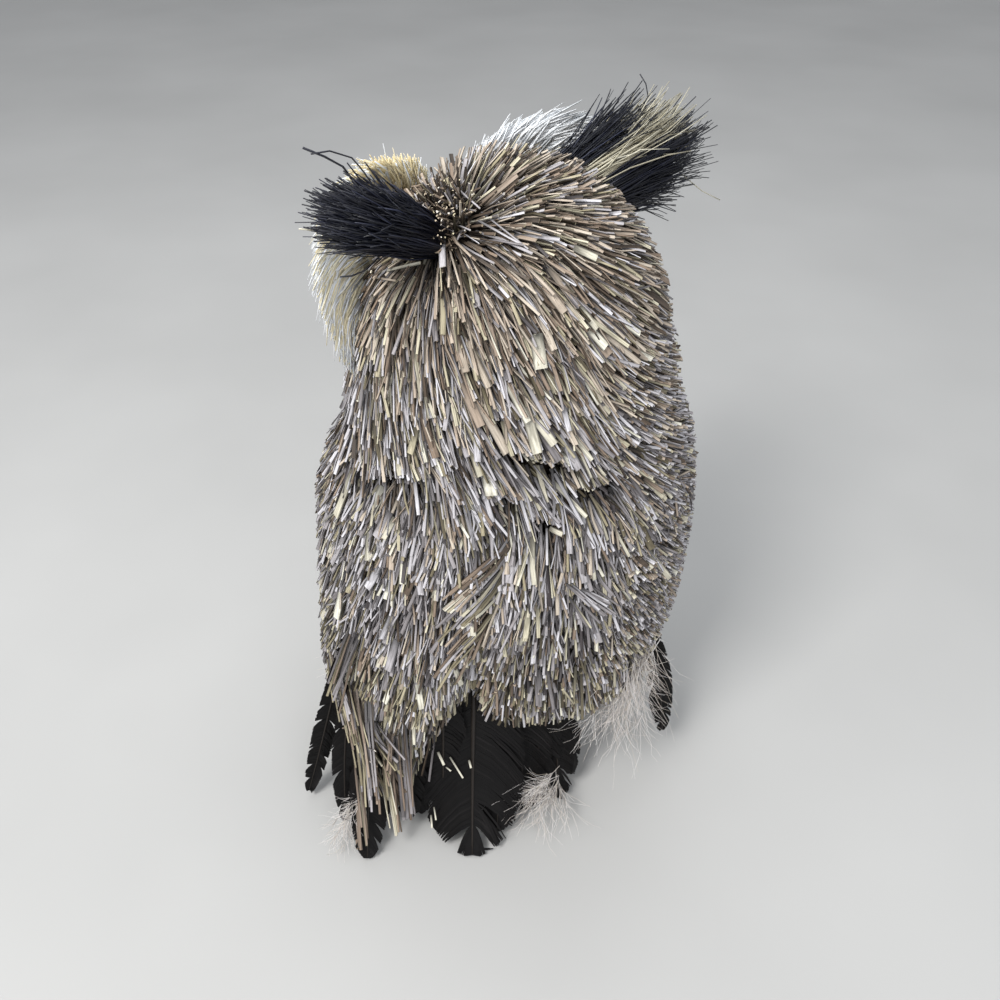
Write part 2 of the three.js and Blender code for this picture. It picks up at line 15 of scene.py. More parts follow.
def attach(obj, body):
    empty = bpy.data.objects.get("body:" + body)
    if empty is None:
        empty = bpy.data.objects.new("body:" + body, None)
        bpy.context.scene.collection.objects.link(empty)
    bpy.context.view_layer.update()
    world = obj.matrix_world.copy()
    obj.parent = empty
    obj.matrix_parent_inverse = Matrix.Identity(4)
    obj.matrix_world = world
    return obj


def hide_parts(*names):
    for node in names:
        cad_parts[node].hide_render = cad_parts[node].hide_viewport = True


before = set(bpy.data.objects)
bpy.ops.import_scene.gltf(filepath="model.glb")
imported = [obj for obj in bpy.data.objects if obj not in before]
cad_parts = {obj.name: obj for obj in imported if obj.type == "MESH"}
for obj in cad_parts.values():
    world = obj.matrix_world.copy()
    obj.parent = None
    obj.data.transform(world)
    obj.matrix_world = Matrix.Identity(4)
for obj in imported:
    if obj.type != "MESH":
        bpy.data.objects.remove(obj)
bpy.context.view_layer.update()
print("nodes in the frame:", len(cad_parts))

# %% [markdown]
# The photograph looks down on the owl's back from a little above its head. The camera repeats
# that place. It is written in millimetres, as the whole owl is, and scaled to Blender's metres
# only where an object is made.

# %% Camera
MM = 0.001
CAMERA_PLACE = (-3.0, 217.7, 280.0)
CAMERA_PITCH = 38.9
FOCAL_PIXELS = 924
FRAME_PIXELS = 1000
SENSOR = 36


def add_object(name, data):
    thing = bpy.data.objects.new(name, data)
    bpy.context.scene.collection.objects.link(thing)
    return thing


lens = bpy.data.cameras.new("camera")
lens.sensor_width = SENSOR
lens.lens = SENSOR * FOCAL_PIXELS / FRAME_PIXELS
lens.clip_start = 0.01
camera = add_object("camera", lens)
camera.location = [MM * value for value in CAMERA_PLACE]
camera.rotation_euler = (math.radians(90 - CAMERA_PITCH), 0, math.pi)
bpy.context.scene.camera = camera
print("lens in mm:", round(lens.lens, 2))

# %% [markdown]
# A pale floor and three large, soft lights. Large lights keep the shadows between the bristles
# open enough to read, and the key light stands on the side where the owl's back is brightest.
# Lights and floor are placed in metres.

# %% Floor and light
LIGHT_AIM = (0, 0, 0.1)
LIGHTS = {
    "key": {"place": (0.35, 0.45, 0.80), "size": 0.32, "power": 8.2, "colour": (1.0, 0.985, 0.96)},
    "fill": {"place": (-0.30, 0.85, 0.40), "size": 0.5, "power": 2.4, "colour": (0.97, 0.98, 1.0)},
    "top": {"place": (0.0, -0.25, 0.95), "size": 0.6, "power": 3.0, "colour": (0.95, 0.98, 1.0)},
}
SKY_COLOUR = (0.84, 0.86, 0.89, 1)
SKY_STRENGTH = 0.62
FLOOR_HALF = 4.0

for name, light in LIGHTS.items():
    lamp = bpy.data.lights.new(name, "AREA")
    lamp.size = light["size"]
    lamp.energy = light["power"]
    lamp.color = light["colour"]
    holder = add_object(name, lamp)
    holder.location = light["place"]
    line_of_light = Vector(LIGHT_AIM) - Vector(light["place"])
    holder.rotation_euler = line_of_light.to_track_quat("-Z", "Y").to_euler()

world = bpy.data.worlds.new("studio")
world.use_nodes = True
world.node_tree.nodes["Background"].inputs["Color"].default_value = SKY_COLOUR
world.node_tree.nodes["Background"].inputs["Strength"].default_value = SKY_STRENGTH
bpy.context.scene.world = world
bpy.context.scene.view_settings.view_transform = "Standard"

floor_mesh = bpy.data.meshes.new("floor")
floor_corners = [(-FLOOR_HALF, -FLOOR_HALF, 0), (FLOOR_HALF, -FLOOR_HALF, 0),
                 (FLOOR_HALF, FLOOR_HALF, 0), (-FLOOR_HALF, FLOOR_HALF, 0)]
floor_mesh.from_pydata(floor_corners, [], [(0, 1, 2, 3)])
floor = add_object("floor", floor_mesh)
print("lights:", ", ".join(LIGHTS))

# %% [markdown]
# Materials are small node trees. These helpers start each one with a Principled shader and add the
# nodes that many finishes share, so that a finish only has to say what makes it special.

# %% Parts of a material
WHITE = (1.0, 1.0, 1.0)


def new_finish(name, roughness, specular=0.5):
    material = bpy.data.materials.new(name)
    material.use_nodes = True
    shader = material.node_tree.nodes["Principled BSDF"]
    shader.inputs["Roughness"].default_value = roughness
    shader.inputs["Specular IOR Level"].default_value = specular
    return material, material.node_tree, shader


def ramp_node(tree, stops, source):
    """A ramp of colours that the source's value runs along."""
    ramp = tree.nodes.new("ShaderNodeValToRGB")
    bar = ramp.color_ramp
    while len(bar.elements) < len(stops):
        bar.elements.new(0.5)
    for element, (place, colour) in zip(bar.elements, stops):
        element.position = place
        element.color = (*colour, 1)
    tree.links.new(source, ramp.inputs["Fac"])
    return ramp


def noise_node(tree, source, scale, detail=3.0):
    noise = tree.nodes.new("ShaderNodeTexNoise")
    noise.inputs["Scale"].default_value = scale
    noise.inputs["Detail"].default_value = detail
    tree.links.new(source, noise.inputs["Vector"])
    return noise


def multiply_node(tree, share, base, over):
    """Multiplies the base colour by another, in full where the share is 1."""
    product = tree.nodes.new("ShaderNodeMixRGB")
    product.blend_type = "MULTIPLY"
    product.inputs["Fac"].default_value = share
    tree.links.new(base.outputs["Color"], product.inputs["Color1"])
    tree.links.new(over.outputs["Color"], product.inputs["Color2"])
    return product


def math_node(tree, operation, source, value=None):
    step = tree.nodes.new("ShaderNodeMath")
    step.operation = operation
    if value is not None:
        step.inputs[1].default_value = value
    tree.links.new(source, step.inputs[0])
    return step.outputs["Value"]


def stretched(tree, source, scale):
    mapping = tree.nodes.new("ShaderNodeMapping")
    mapping.inputs["Scale"].default_value = scale
    tree.links.new(source, mapping.inputs["Vector"])
    return mapping.outputs["Vector"]


def bump_node(tree, shader, height, strength, distance):
    bump = tree.nodes.new("ShaderNodeBump")
    bump.inputs["Strength"].default_value = strength
    bump.inputs["Distance"].default_value = distance
    tree.links.new(height, bump.inputs["Height"])
    tree.links.new(bump.outputs["Normal"], shader.inputs["Normal"])


def bake_uv(tree):
    """Reads the map OFBake: the whole of it, its u and its v."""
    uv = tree.nodes.new("ShaderNodeUVMap")
    uv.uv_map = "OFBake"
    split = tree.nodes.new("ShaderNodeSeparateXYZ")
    tree.links.new(uv.outputs["UV"], split.inputs["Vector"])
    return uv.outputs["UV"], split.outputs["X"], split.outputs["Y"]


def paint(red, green, blue):
    """Turns a colour given from 0 to 255, as a screen shows it, into Blender's linear one."""
    channels = [value / 255 for value in (red, green, blue)]
    return tuple(c / 12.92 if c <= 0.04045 else ((c + 0.055) / 1.055) ** 2.4 for c in channels)


# %% [markdown]
# The floor is a pale grey with a faint mottle. It is the simplest finish here: soft noise moves
# the colour between two paints. The root mats, painted near-black as shadow, and the beds of the
# discs, painted pale as light through their bristles, use the same recipe.


# %% Floor finish
def mottled_finish(name, roughness, specular, scale, stops):
    material, tree, shader = new_finish(name, roughness, specular)
    place = tree.nodes.new("ShaderNodeTexCoord")
    mottle = noise_node(tree, place.outputs["Object"], scale)
    tone = ramp_node(tree, stops, mottle.outputs["Fac"])
    tree.links.new(tone.outputs["Color"], shader.inputs["Base Color"])
    return material


FLOOR_PAINTS = [(0.3, paint(176, 176, 175)), (0.7, paint(184, 184, 183))]
floor_finish = mottled_finish("pale_floor", 0.6, 0.3, 6.0, FLOOR_PAINTS)
floor_mesh.materials.append(floor_finish)
print("floor finish:", floor_finish.name)

# %% [markdown]
# The body is one egg: a torso egg and a head egg that run into each other. The bristles have to
# lie on it, so its form is worked out here again from the same few sizes as the solid.

# %% The form of the body
AXIS = (-6.4, -12.5)
HEAD_PUSH = (-0.8, 2.0)
TORSO = {"mid": 88, "half_height": 76, "half_width": 49.5}
HEAD = {"mid": 151, "half_height": 51, "half_width": 40.5}
NECK_BLEND = 15
TORSO_DEPTH = 0.86
HEAD_DEPTH = 0.95
CROWN = HEAD["mid"] + HEAD["half_height"]
UNDERSIDE = TORSO["mid"] - TORSO["half_height"]
DEPTH_CHANGE = (110, 165)
AXIS_CHANGE = (95, 175)
OUTLINE_POINTS = 601
UP = np.array([0.0, 0.0, 1.0])


def mix(a, b, t):
    return a + (b - a) * t


def smooth(low, high, value):
    t = np.clip((value - low) / (high - low), 0, 1)
    return t * t * (3 - 2 * t)


def egg_radius(height, egg):
    t = (height - egg["mid"]) / egg["half_height"]
    return egg["half_width"] * np.sqrt(np.clip(1 - t * t, 0, 1))


def body_radius(height):
    torso = egg_radius(height, TORSO)
    head = egg_radius(height, HEAD)
    spare = np.maximum(0, NECK_BLEND * 2 - np.abs(torso - head))
    inside = np.minimum(1, np.minimum(torso, head) / NECK_BLEND)
    return np.maximum(torso, head) + spare * spare * inside / (NECK_BLEND * 8)


def body_depth(height):
    return mix(TORSO_DEPTH, HEAD_DEPTH, smooth(*DEPTH_CHANGE, height))


def axis_at(height):
    lean = smooth(*AXIS_CHANGE, height)
    return AXIS[0] + HEAD_PUSH[0] * lean, AXIS[1] + HEAD_PUSH[1] * lean


def flank_point(turn, height, radius):
    """A point at an angle from the middle of the back (+Y) towards the owl's left (+X)."""
    axis_x, axis_y = axis_at(height)
    x = axis_x + radius * np.sin(turn)
    y = axis_y + radius * body_depth(height) * np.cos(turn)
    return np.stack(np.broadcast_arrays(x, y, height), axis=-1)


def turn_of(points):
    """The angle of each point round the axis, as flank_point takes it."""
    axis_x, axis_y = axis_at(points[..., 2])
    return np.arctan2(points[..., 0] - axis_x, (points[..., 1] - axis_y) / body_depth(points[..., 2]))


def around_body(turn):
    """The level direction round the body, towards +X over the back, at each angle."""
    return np.stack([np.cos(turn), -np.sin(turn), np.zeros(len(turn))], axis=1)


outline_sweep = (1 - np.cos(np.linspace(0, math.pi, OUTLINE_POINTS))) / 2
OUTLINE_HEIGHT = mix(CROWN, UNDERSIDE, outline_sweep)
OUTLINE_RADIUS = body_radius(OUTLINE_HEIGHT)
outline_steps = np.hypot(np.diff(OUTLINE_HEIGHT), np.diff(OUTLINE_RADIUS))
OUTLINE_ALONG = np.concatenate([[0], np.cumsum(outline_steps)])
OUTLINE_OUT = -np.gradient(OUTLINE_HEIGHT, OUTLINE_ALONG)
OUTLINE_UP = np.gradient(OUTLINE_RADIUS, OUTLINE_ALONG)


def body_point(turn, along, grow):
    """A point at an angle and a way down the outline, grown outwards by some mm."""
    height = np.interp(along, OUTLINE_ALONG, OUTLINE_HEIGHT)
    radius = np.interp(along, OUTLINE_ALONG, OUTLINE_RADIUS)
    out = np.interp(along, OUTLINE_ALONG, OUTLINE_OUT)
    up = np.interp(along, OUTLINE_ALONG, OUTLINE_UP)
    place = flank_point(turn, height, radius + grow * out)
    place[..., 2] += grow * up
    return place


def along_at(height):
    return np.interp(-height, -OUTLINE_HEIGHT, OUTLINE_ALONG)


print("outline from crown to underside:", round(float(OUTLINE_ALONG[-1]), 1), "mm")

# %% [markdown]
# The wings are pads of the same thatch over the flanks. Each has a plan: rows from the shoulder
# to the tip, with the angle of its back edge and front edge and how far out it stands.

# %% The form of the wings
WING_THICK = 7.2
TIER_LIFT = 2.6
LEFT_WING = {
    "side": 1,
    "height": [134, 124, 104, 82, 60, 37, 11],
    "back": [38, 14, 9, 11, 19, 26, 29],
    "front": [66, 92, 110, 110, 92, 68, 38],
    "radius": [46.5, 49.5, 53.5, 55.5, 58.5, 62, 69],
}
RIGHT_WING = {
    "side": -1,
    "height": [142, 131, 114, 96, 78, 61, 48],
    "back": [36, 20, 10, -3, -17, -11, -5],
    "front": [66, 94, 110, 114, 112, 92, 66],
    "radius": [45, 47, 49, 50.5, 50.5, 49.5, 48],
}
EDGE_FALL = 0.9
TOP_SHARE = 0.2
TOP_RUN = 0.33
SWELL_SPAN = (0.1, 0.9)
SWELL_POWER = 0.6


def wing_row(plan, height, key):
    return np.interp(-height, [-value for value in plan["height"]], plan[key])


def wing_edges(plan, height):
    back = np.radians(wing_row(plan, height, "back"))
    front = np.radians(wing_row(plan, height, "front"))
    return back, front


def wing_across(plan, points):
    """Where points lie between a wing's back edge, 0, and its front edge, 1, and its width in mm."""
    height = points[..., 2]
    back, front = wing_edges(plan, height)
    turn = turn_of(points) * plan["side"]
    width = (front - back) * wing_row(plan, height, "radius")
    return (turn - back) / (front - back), width


def wing_point(plan, height, across, lift):
    """A point of a wing's pad, some mm above the steps that the rows of thatch make."""
    back, front = wing_edges(plan, height)
    radius = wing_row(plan, height, "radius")
    inside = np.clip(across, 0, 1)
    swell = np.sin(math.pi * mix(*SWELL_SPAN, inside)) ** SWELL_POWER
    rows = np.linspace(0, 1, len(plan["height"]))
    down_plan = np.interp(-height, [-value for value in plan["height"]], rows)
    rounded = mix(TOP_SHARE, 1, smooth(0, TOP_RUN, down_plan))
    beyond = np.abs(across - inside) * (front - back) * radius
    out = radius + ((WING_THICK - TIER_LIFT) * swell + lift) * rounded - EDGE_FALL * beyond
    return flank_point(mix(back, front, across) * plan["side"], height, out)


WINGS = {"left": LEFT_WING, "right": RIGHT_WING}
for name, plan in WINGS.items():
    print(name, "wing from", plan["height"][0], "down to", plan["height"][-1], "mm")

# %% [markdown]
# A skin is a net of quads that bristles are planted on. The net is kept as plain arrays, with a
# search tree beside it that finds the nearest point and the way it faces.


# %% Skins to plant on
def net_faces(rows, columns, closed):
    across = columns if closed else columns - 1
    r, c = np.meshgrid(np.arange(rows - 1), np.arange(across), indexing="ij")
    r, c = r.ravel(), c.ravel()
    d = (c + 1) % columns
    return np.stack([r * columns + c, (r + 1) * columns + c, (r + 1) * columns + d, r * columns + d], 1)


def make_skin(net, closed):
    rows, columns = net.shape[:2]
    points = net.reshape(-1, 3)
    faces = net_faces(rows, columns, closed)
    tree = BVHTree.FromPolygons(points.tolist(), faces.tolist())
    return {"points": points, "faces": faces, "tree": tree}


def settle(skin, places):
    """The nearest points of a skin, and its outward directions there."""
    hits = [skin["tree"].find_nearest(place) for place in places.tolist()]
    where = np.array([hit[0][:] for hit in hits])
    facing = np.array([hit[1][:] for hit in hits])
    return where, facing


SKIN_COLUMNS = 200
SKIN_ROWS = 170
POLE_GAP = 0.3
WING_STEP = 9.0
WING_ROWS = 90
WING_COLUMNS = 70
WING_PAST_SIDE = 0.16
WING_PAST_TOP = 2
WING_PAST_TIP = 8
turns = np.linspace(0, 2 * math.pi, SKIN_COLUMNS, endpoint=False)
alongs = np.linspace(POLE_GAP, OUTLINE_ALONG[-1] - POLE_GAP, SKIN_ROWS)
net_turn, net_along = np.meshgrid(turns, alongs)
body_net = body_point(net_turn, net_along, 0.0)


def wing_cover(plan, points, margin):
    """1 on a wing and 0 away from it, with a soft step of margin mm around its edges."""
    across, width = wing_across(plan, points)
    height = points[..., 2]
    sideways = np.minimum(across, 1 - across) * width
    lengthways = np.minimum(plan["height"][0] - height, height - plan["height"][-1] + margin)
    return smooth(-margin, margin * 0.3, np.minimum(sideways, lengthways))


for plan in WINGS.values():
    cover = wing_cover(plan, body_net, WING_STEP)
    across, _ = wing_across(plan, body_net)
    on_wing = wing_point(plan, body_net[..., 2], np.clip(across, 0.0, 1.0), 0.0)
    axis_x, axis_y = axis_at(body_net[..., 2])
    centre = np.stack([axis_x, axis_y, body_net[..., 2]], axis=-1)
    reach_body = np.linalg.norm(body_net - centre, axis=-1)
    reach_wing = np.linalg.norm(on_wing - centre, axis=-1)
    ratio = 1 + cover * np.maximum(0, reach_wing / np.maximum(reach_body, 1) - 1)
    body_net = centre + (body_net - centre) * ratio[..., None]

body_skin = make_skin(body_net[:, ::-1], True)


def wing_net(plan):
    """A net over a wing's pad that runs a little past its plan on every side."""
    top, bottom = plan["height"][0], plan["height"][-1]
    heights = np.linspace(top + WING_PAST_TOP, bottom - WING_PAST_TIP, WING_ROWS)
    acrosses = np.linspace(-WING_PAST_SIDE, 1 + WING_PAST_SIDE, WING_COLUMNS)
    net_across, net_height = np.meshgrid(acrosses, heights)
    net = wing_point(plan, net_height, net_across, 0.0)
    return net if plan["side"] < 0 else net[:, ::-1]


wing_skins = {name: make_skin(wing_net(plan), False) for name, plan in WINGS.items()}
MID_HEIGHT = 100
PROBE_STEP = 997
for name, skin in {"body": body_skin, **wing_skins}.items():
    where, facing = settle(skin, skin["points"][::PROBE_STEP])
    outward = where - [AXIS[0], AXIS[1], MID_HEIGHT]
    print(name, "skin faces out:", round(float((np.sum(outward * facing, 1) > 0).mean()), 2))

# %% [markdown]
# Marks that the photograph shows, such as the whorl on the head, are found by looking from the
# camera through a pixel of the 1000 by 1000 frame until the skin is met.


# %% From a pixel to the skin
def sight(column, row):
    pitch = math.radians(CAMERA_PITCH)
    right = np.array([-1.0, 0.0, 0.0])
    ahead = np.array([0.0, -math.cos(pitch), -math.sin(pitch)])
    up = np.array([0.0, -math.sin(pitch), math.cos(pitch)])
    middle = FRAME_PIXELS / 2
    aim = ahead * FOCAL_PIXELS + right * (column - middle) + up * (middle - row)
    return aim / np.linalg.norm(aim)


def spot(skin, column, row):
    """Where a pixel's line of sight meets a skin, or the skin's nearest point if it passes by."""
    line = sight(column, row)
    hit = skin["tree"].ray_cast(Vector(CAMERA_PLACE), Vector(line))
    if hit[0] is None:
        beside = np.array(CAMERA_PLACE) + line * np.dot(np.array([*AXIS, MID_HEIGHT]) - CAMERA_PLACE, line)
        hit = skin["tree"].find_nearest(Vector(beside))
    return np.array(hit[0])


WHORL_PIXEL = (440, 220)
whorl = spot(body_skin, *WHORL_PIXEL)
print("whorl of the crown at", np.round(whorl, 1))

# %% [markdown]
# Planting works as a brush maker's hands do. Roots are scattered evenly over the skin, each
# bristle is combed along a direction that changes over the body, and it leaves the skin at an
# angle. A fixed seed gives the same coat every time.

# %% Scatter and comb
SEED = 4983
rng = np.random.default_rng(SEED)
print("seed of the coat:", SEED)


def unit(vectors):
    return vectors / np.maximum(np.linalg.norm(vectors, axis=-1, keepdims=True), 1e-9)


def scatter(skin, density, weight):
    """Root places, so many to a square millimetre, and fewer where the weight is under 1."""
    corners = skin["points"][skin["faces"]]
    crossed = np.cross(corners[:, 2] - corners[:, 0], corners[:, 3] - corners[:, 1])
    area = np.linalg.norm(crossed, axis=1) / 2 * weight(corners.mean(axis=1))
    total = np.cumsum(area)
    count = int(total[-1] * density)
    draws = (np.arange(count) + rng.random(count)) / count * total[-1]
    quad = corners[np.minimum(np.searchsorted(total, draws), len(total) - 1)]
    u = rng.random(count)[:, None]
    v = rng.random(count)[:, None]
    return mix(mix(quad[:, 0], quad[:, 3], u), mix(quad[:, 1], quad[:, 2], u), v)


def tangent(course, facing):
    return unit(course - facing * np.sum(course * facing, axis=1, keepdims=True))


def comb(skin, roots, aim, lengths, stray, steps):
    """Walks each bristle over the skin. Gives its stops and the skin's direction at each."""
    where, facing = settle(skin, roots)
    stops, faces = [where], [facing]
    for _ in range(steps):
        course = tangent(aim(where), facing)
        side = np.cross(facing, course)
        course = course * np.cos(stray)[:, None] + side * np.sin(stray)[:, None]
        where, facing = settle(skin, where + course * (lengths / steps)[:, None])
        stops.append(where)
        faces.append(facing)
    return np.stack(stops, axis=1), np.stack(faces, axis=1)


def along_path(path, share):
    """Cuts each path down to a share of its length and spaces its stops evenly again."""
    last = path.shape[1] - 1
    want = np.linspace(0, 1, last + 1)[None, :] * share[:, None] * last
    low = np.minimum(want.astype(int), last - 1)
    part = (want - low)[..., None]
    rows = np.arange(len(path))[:, None]
    return mix(path[rows, low], path[rows, low + 1], part)


# %% [markdown]
# One bristle is a thin bar: a row of small rings joined by faces, closed and cut square at both
# ends. All bristles of a batch share one pattern of faces, so numpy can write thousands at once.
# Each carries a UV strip in a map named OFBake: u picks its tone from the palette and v runs from
# root to tip. The colour of a bristle depends on that map alone.

# %% Bristles as mesh
PALETTES = 4
TONES = 16
RING_SHAPES = {
    4: np.array([[-1, 1], [1, 1], [1, -1], [-1, -1]], float),
    3: np.array([[-1, -0.6], [0, 1.2], [1, -0.6]], float),
}
# How far across its tone cell each side of a bar reads. The narrow sides of a flat strip read only
# the cell's dark edge, which is painted shade.
FACE_SPANS = {
    4: [(0.0, 1.0), (0.97, 1.0), (1.0, 0.0), (0.03, 0.0)],
    3: [(0.15, 0.5), (0.5, 0.85), (0.85, 0.15)],
}
# The v marks of a bar: where its sides start, how much they take up, and where its cut end lies.
SIDE_START = 0.02
SIDE_RUN = 0.93
END_START = 0.96


def bar_pattern(stops, sides):
    """The faces of one bar and their marks, sides first, then the cut end and the root."""
    faces, marks = [], []
    spans = FACE_SPANS[sides]
    for k in range(stops - 1):
        low = SIDE_START + SIDE_RUN * k / (stops - 1)
        high = SIDE_START + SIDE_RUN * (k + 1) / (stops - 1)
        for j in range(sides):
            n = (j + 1) % sides
            a, b = spans[j]
            faces.append([k * sides + j, k * sides + n, (k + 1) * sides + n, (k + 1) * sides + j])
            marks.append([(a, low), (b, low), (b, high), (a, high)])
    end = [(0.05, END_START), (0.95, END_START), (0.95, 1.0), (0.05, 1.0)][:sides]
    start = [(0.05, 0.0), (0.95, 0.0), (0.95, SIDE_START), (0.05, SIDE_START)][:sides]
    faces.append([(stops - 1) * sides + j for j in range(sides)])
    marks.append(end)
    faces.append([sides - 1 - j for j in range(sides)])
    marks.append(start)
    return faces, marks


def bars(path, facing, width, thick, palette, tone, roll=None, sides=4, taper=None, round_off=False):
    """A batch of bristles. path is count by stops by 3, in mm, and facing the side that is flat."""
    count, stops = path.shape[:2]
    if facing.ndim == 2:
        facing = np.repeat(facing[:, None], stops, axis=1)
    course = unit(np.gradient(path, axis=1))
    side = unit(np.cross(course, facing))
    top = unit(np.cross(side, course))
    if roll is not None:
        turn = roll[:, None, None]
        side, top = side * np.cos(turn) + top * np.sin(turn), top * np.cos(turn) - side * np.sin(turn)
    shape = RING_SHAPES[sides]
    narrow = np.ones(stops) if taper is None else np.asarray(taper)
    half_width = (width[:, None] * narrow[None, :] / 2)[..., None, None]
    half_thick = (thick[:, None] * narrow[None, :] / 2)[..., None, None]
    rings = path[:, :, None] + side[:, :, None] * shape[None, None, :, :1] * half_width
    rings = rings + top[:, :, None] * shape[None, None, :, 1:] * half_thick
    pattern, marks = bar_pattern(stops, sides)
    per_bar = stops * sides
    sizes = np.array([len(face) for face in pattern])
    flat = np.concatenate([np.array(face) for face in pattern])
    mark = np.concatenate([np.array(m) for m in marks])
    cell = (palette * TONES + np.clip((tone * TONES).astype(int), 0, TONES - 1)) / (PALETTES * TONES)
    u = cell[:, None] + (0.12 + 0.76 * mark[None, :, 0]) / (PALETTES * TONES)
    v = np.repeat(mark[None, :, 1], count, axis=0)
    return {
        "points": rings.reshape(-1, 3),
        "corners": (flat[None, :] + np.arange(count)[:, None] * per_bar).ravel(),
        "sizes": np.tile(sizes, count),
        "marks": np.stack([u, v], axis=-1).reshape(-1, 2),
        "finish": np.repeat(palette, len(sizes)),
        "smooth": round_off,
    }


print("faces of a straight strip:", len(bar_pattern(2, 4)[0]))

# %% [markdown]
# A batch is a few plain arrays. The root mats, the eyes and the beak are nets instead of bars and
# become batches in the same form. One call joins the batches of a piece, hands it to the frame
# and hides the solids it stands for.


# %% From batches to pieces
def net_batch(points, faces, finish, palette, tone):
    """A net of quads as a batch, with one tone of the palette."""
    cell = (palette * TONES + tone * TONES) / (PALETTES * TONES)
    corner = np.array([[0.1, 0.1], [0.9, 0.1], [0.9, 0.9], [0.1, 0.9]]) / [PALETTES * TONES, 1]
    return {
        "points": points,
        "corners": faces.ravel(),
        "sizes": np.full(len(faces), faces.shape[1]),
        "marks": np.tile(corner[:faces.shape[1]] + [cell, 0], (len(faces), 1)),
        "finish": np.full(len(faces), finish),
        "smooth": True,
    }


def make_piece(name, batches, finishes, nodes):
    """Joins batches into one object that rides on the owl and stands for the named solids."""
    starts = np.cumsum([0] + [len(batch["points"]) for batch in batches])
    points = np.concatenate([batch["points"] for batch in batches]) * MM
    corners = np.concatenate([batch["corners"] + start for batch, start in zip(batches, starts)])
    sizes = np.concatenate([batch["sizes"] for batch in batches])
    finish = np.concatenate([batch["finish"] for batch in batches])
    rounded = np.concatenate([np.full(len(batch["sizes"]), batch["smooth"]) for batch in batches])
    mesh = bpy.data.meshes.new(name)
    mesh.vertices.add(len(points))
    mesh.loops.add(len(corners))
    mesh.polygons.add(len(sizes))
    mesh.vertices.foreach_set("co", points.ravel())
    mesh.loops.foreach_set("vertex_index", corners.astype(np.int32))
    mesh.polygons.foreach_set("loop_start", (np.cumsum(sizes) - sizes).astype(np.int32))
    mesh.polygons.foreach_set("material_index", finish.astype(np.int32))
    mesh.polygons.foreach_set("use_smooth", rounded)
    layout = mesh.uv_layers.new(name="OFBake")
    marks = np.concatenate([batch["marks"] for batch in batches])
    layout.data.foreach_set("uv", marks.ravel())
    mesh.update(calc_edges=True)
    mesh.validate()
    for material in finishes:
        mesh.materials.append(material)
    piece = add_object(name, mesh)
    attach(piece, "root")
    if nodes:
        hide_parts(*nodes)
    print(name, "triangles:", int((sizes - 2).sum()))
    return piece


# %% [markdown]
# Dried bristle is dull outside and paler where it is cut. Each palette is a ramp from its darkest
# strip to its palest, read by the tone cell in u. Fine grain runs along the strip, painted shade
# darkens the lower part of each strip where the coat shadows it, painted shade darkens both edges
# of a flat strip, and the cut end at the top of v is pale pith.


# %% Bristle finishes
# Painted shade at the edges of a strip, as a share of its colour.
EDGE_PAINTED_SHADE = 0.34
EDGE_RAMP = [(0.13, (EDGE_PAINTED_SHADE,) * 3), (0.25, WHITE), (0.75, WHITE), (0.87, (EDGE_PAINTED_SHADE,) * 3)]
STREAK_SCALE = (PALETTES * TONES * 5.0, 2.5, 1.0)
STREAK_RAMP = [(0.3, (0.35, 0.33, 0.30)), (0.62, WHITE)]
# Where along v the painted shade at the root ends.
ROOT_PAINTED_SHADE_END = 0.76
PITH_START = 0.955
GRAIN_BUMP = (0.35, 0.0001)


def darken_edges(tree, across, coloured):
    """Painted shade on both edges of each tone cell, so that strips stay apart where they lie close."""
    cell = math_node(tree, "MULTIPLY", across, PALETTES * TONES)
    edge = ramp_node(tree, EDGE_RAMP, math_node(tree, "FRACT", cell))
    return multiply_node(tree, 1.0, coloured, edge)


def bristle_finish(name, band, ramp, grain, cut_end, roughness, painted_root_shade, specular=0.5, edged=False):
    """The finish of one palette. band is its place in u, and cut_end the colour of its pith."""
    material, tree, shader = new_finish(name, roughness, specular)
    uv, across, along = bake_uv(tree)
    local = tree.nodes.new("ShaderNodeMapRange")
    local.inputs["From Min"].default_value = band / PALETTES
    local.inputs["From Max"].default_value = (band + 1) / PALETTES
    tree.links.new(across, local.inputs["Value"])
    tone = ramp_node(tree, ramp, local.outputs["Result"])
    streak = noise_node(tree, stretched(tree, uv, STREAK_SCALE), 1.0, 4.0)
    streak_tone = ramp_node(tree, STREAK_RAMP, streak.outputs["Fac"])
    grained = multiply_node(tree, grain, tone, streak_tone)
    # Painted shade: each strip is darkened from its root up, where the coat shadows it.
    shade = ramp_node(tree, [(0.0, (painted_root_shade,) * 3), (ROOT_PAINTED_SHADE_END, WHITE)], along)
    coloured = multiply_node(tree, 1.0, grained, shade)
    if edged:
        coloured = darken_edges(tree, across, coloured)
    ended = tree.nodes.new("ShaderNodeMixRGB")
    ended.inputs["Color2"].default_value = (*cut_end, 1)
    tree.links.new(math_node(tree, "GREATER_THAN", along, PITH_START), ended.inputs["Fac"])
    tree.links.new(coloured.outputs["Color"], ended.inputs["Color1"])
    tree.links.new(ended.outputs["Color"], shader.inputs["Base Color"])
    bump_node(tree, shader, streak.outputs["Fac"], *GRAIN_BUMP)
    return material


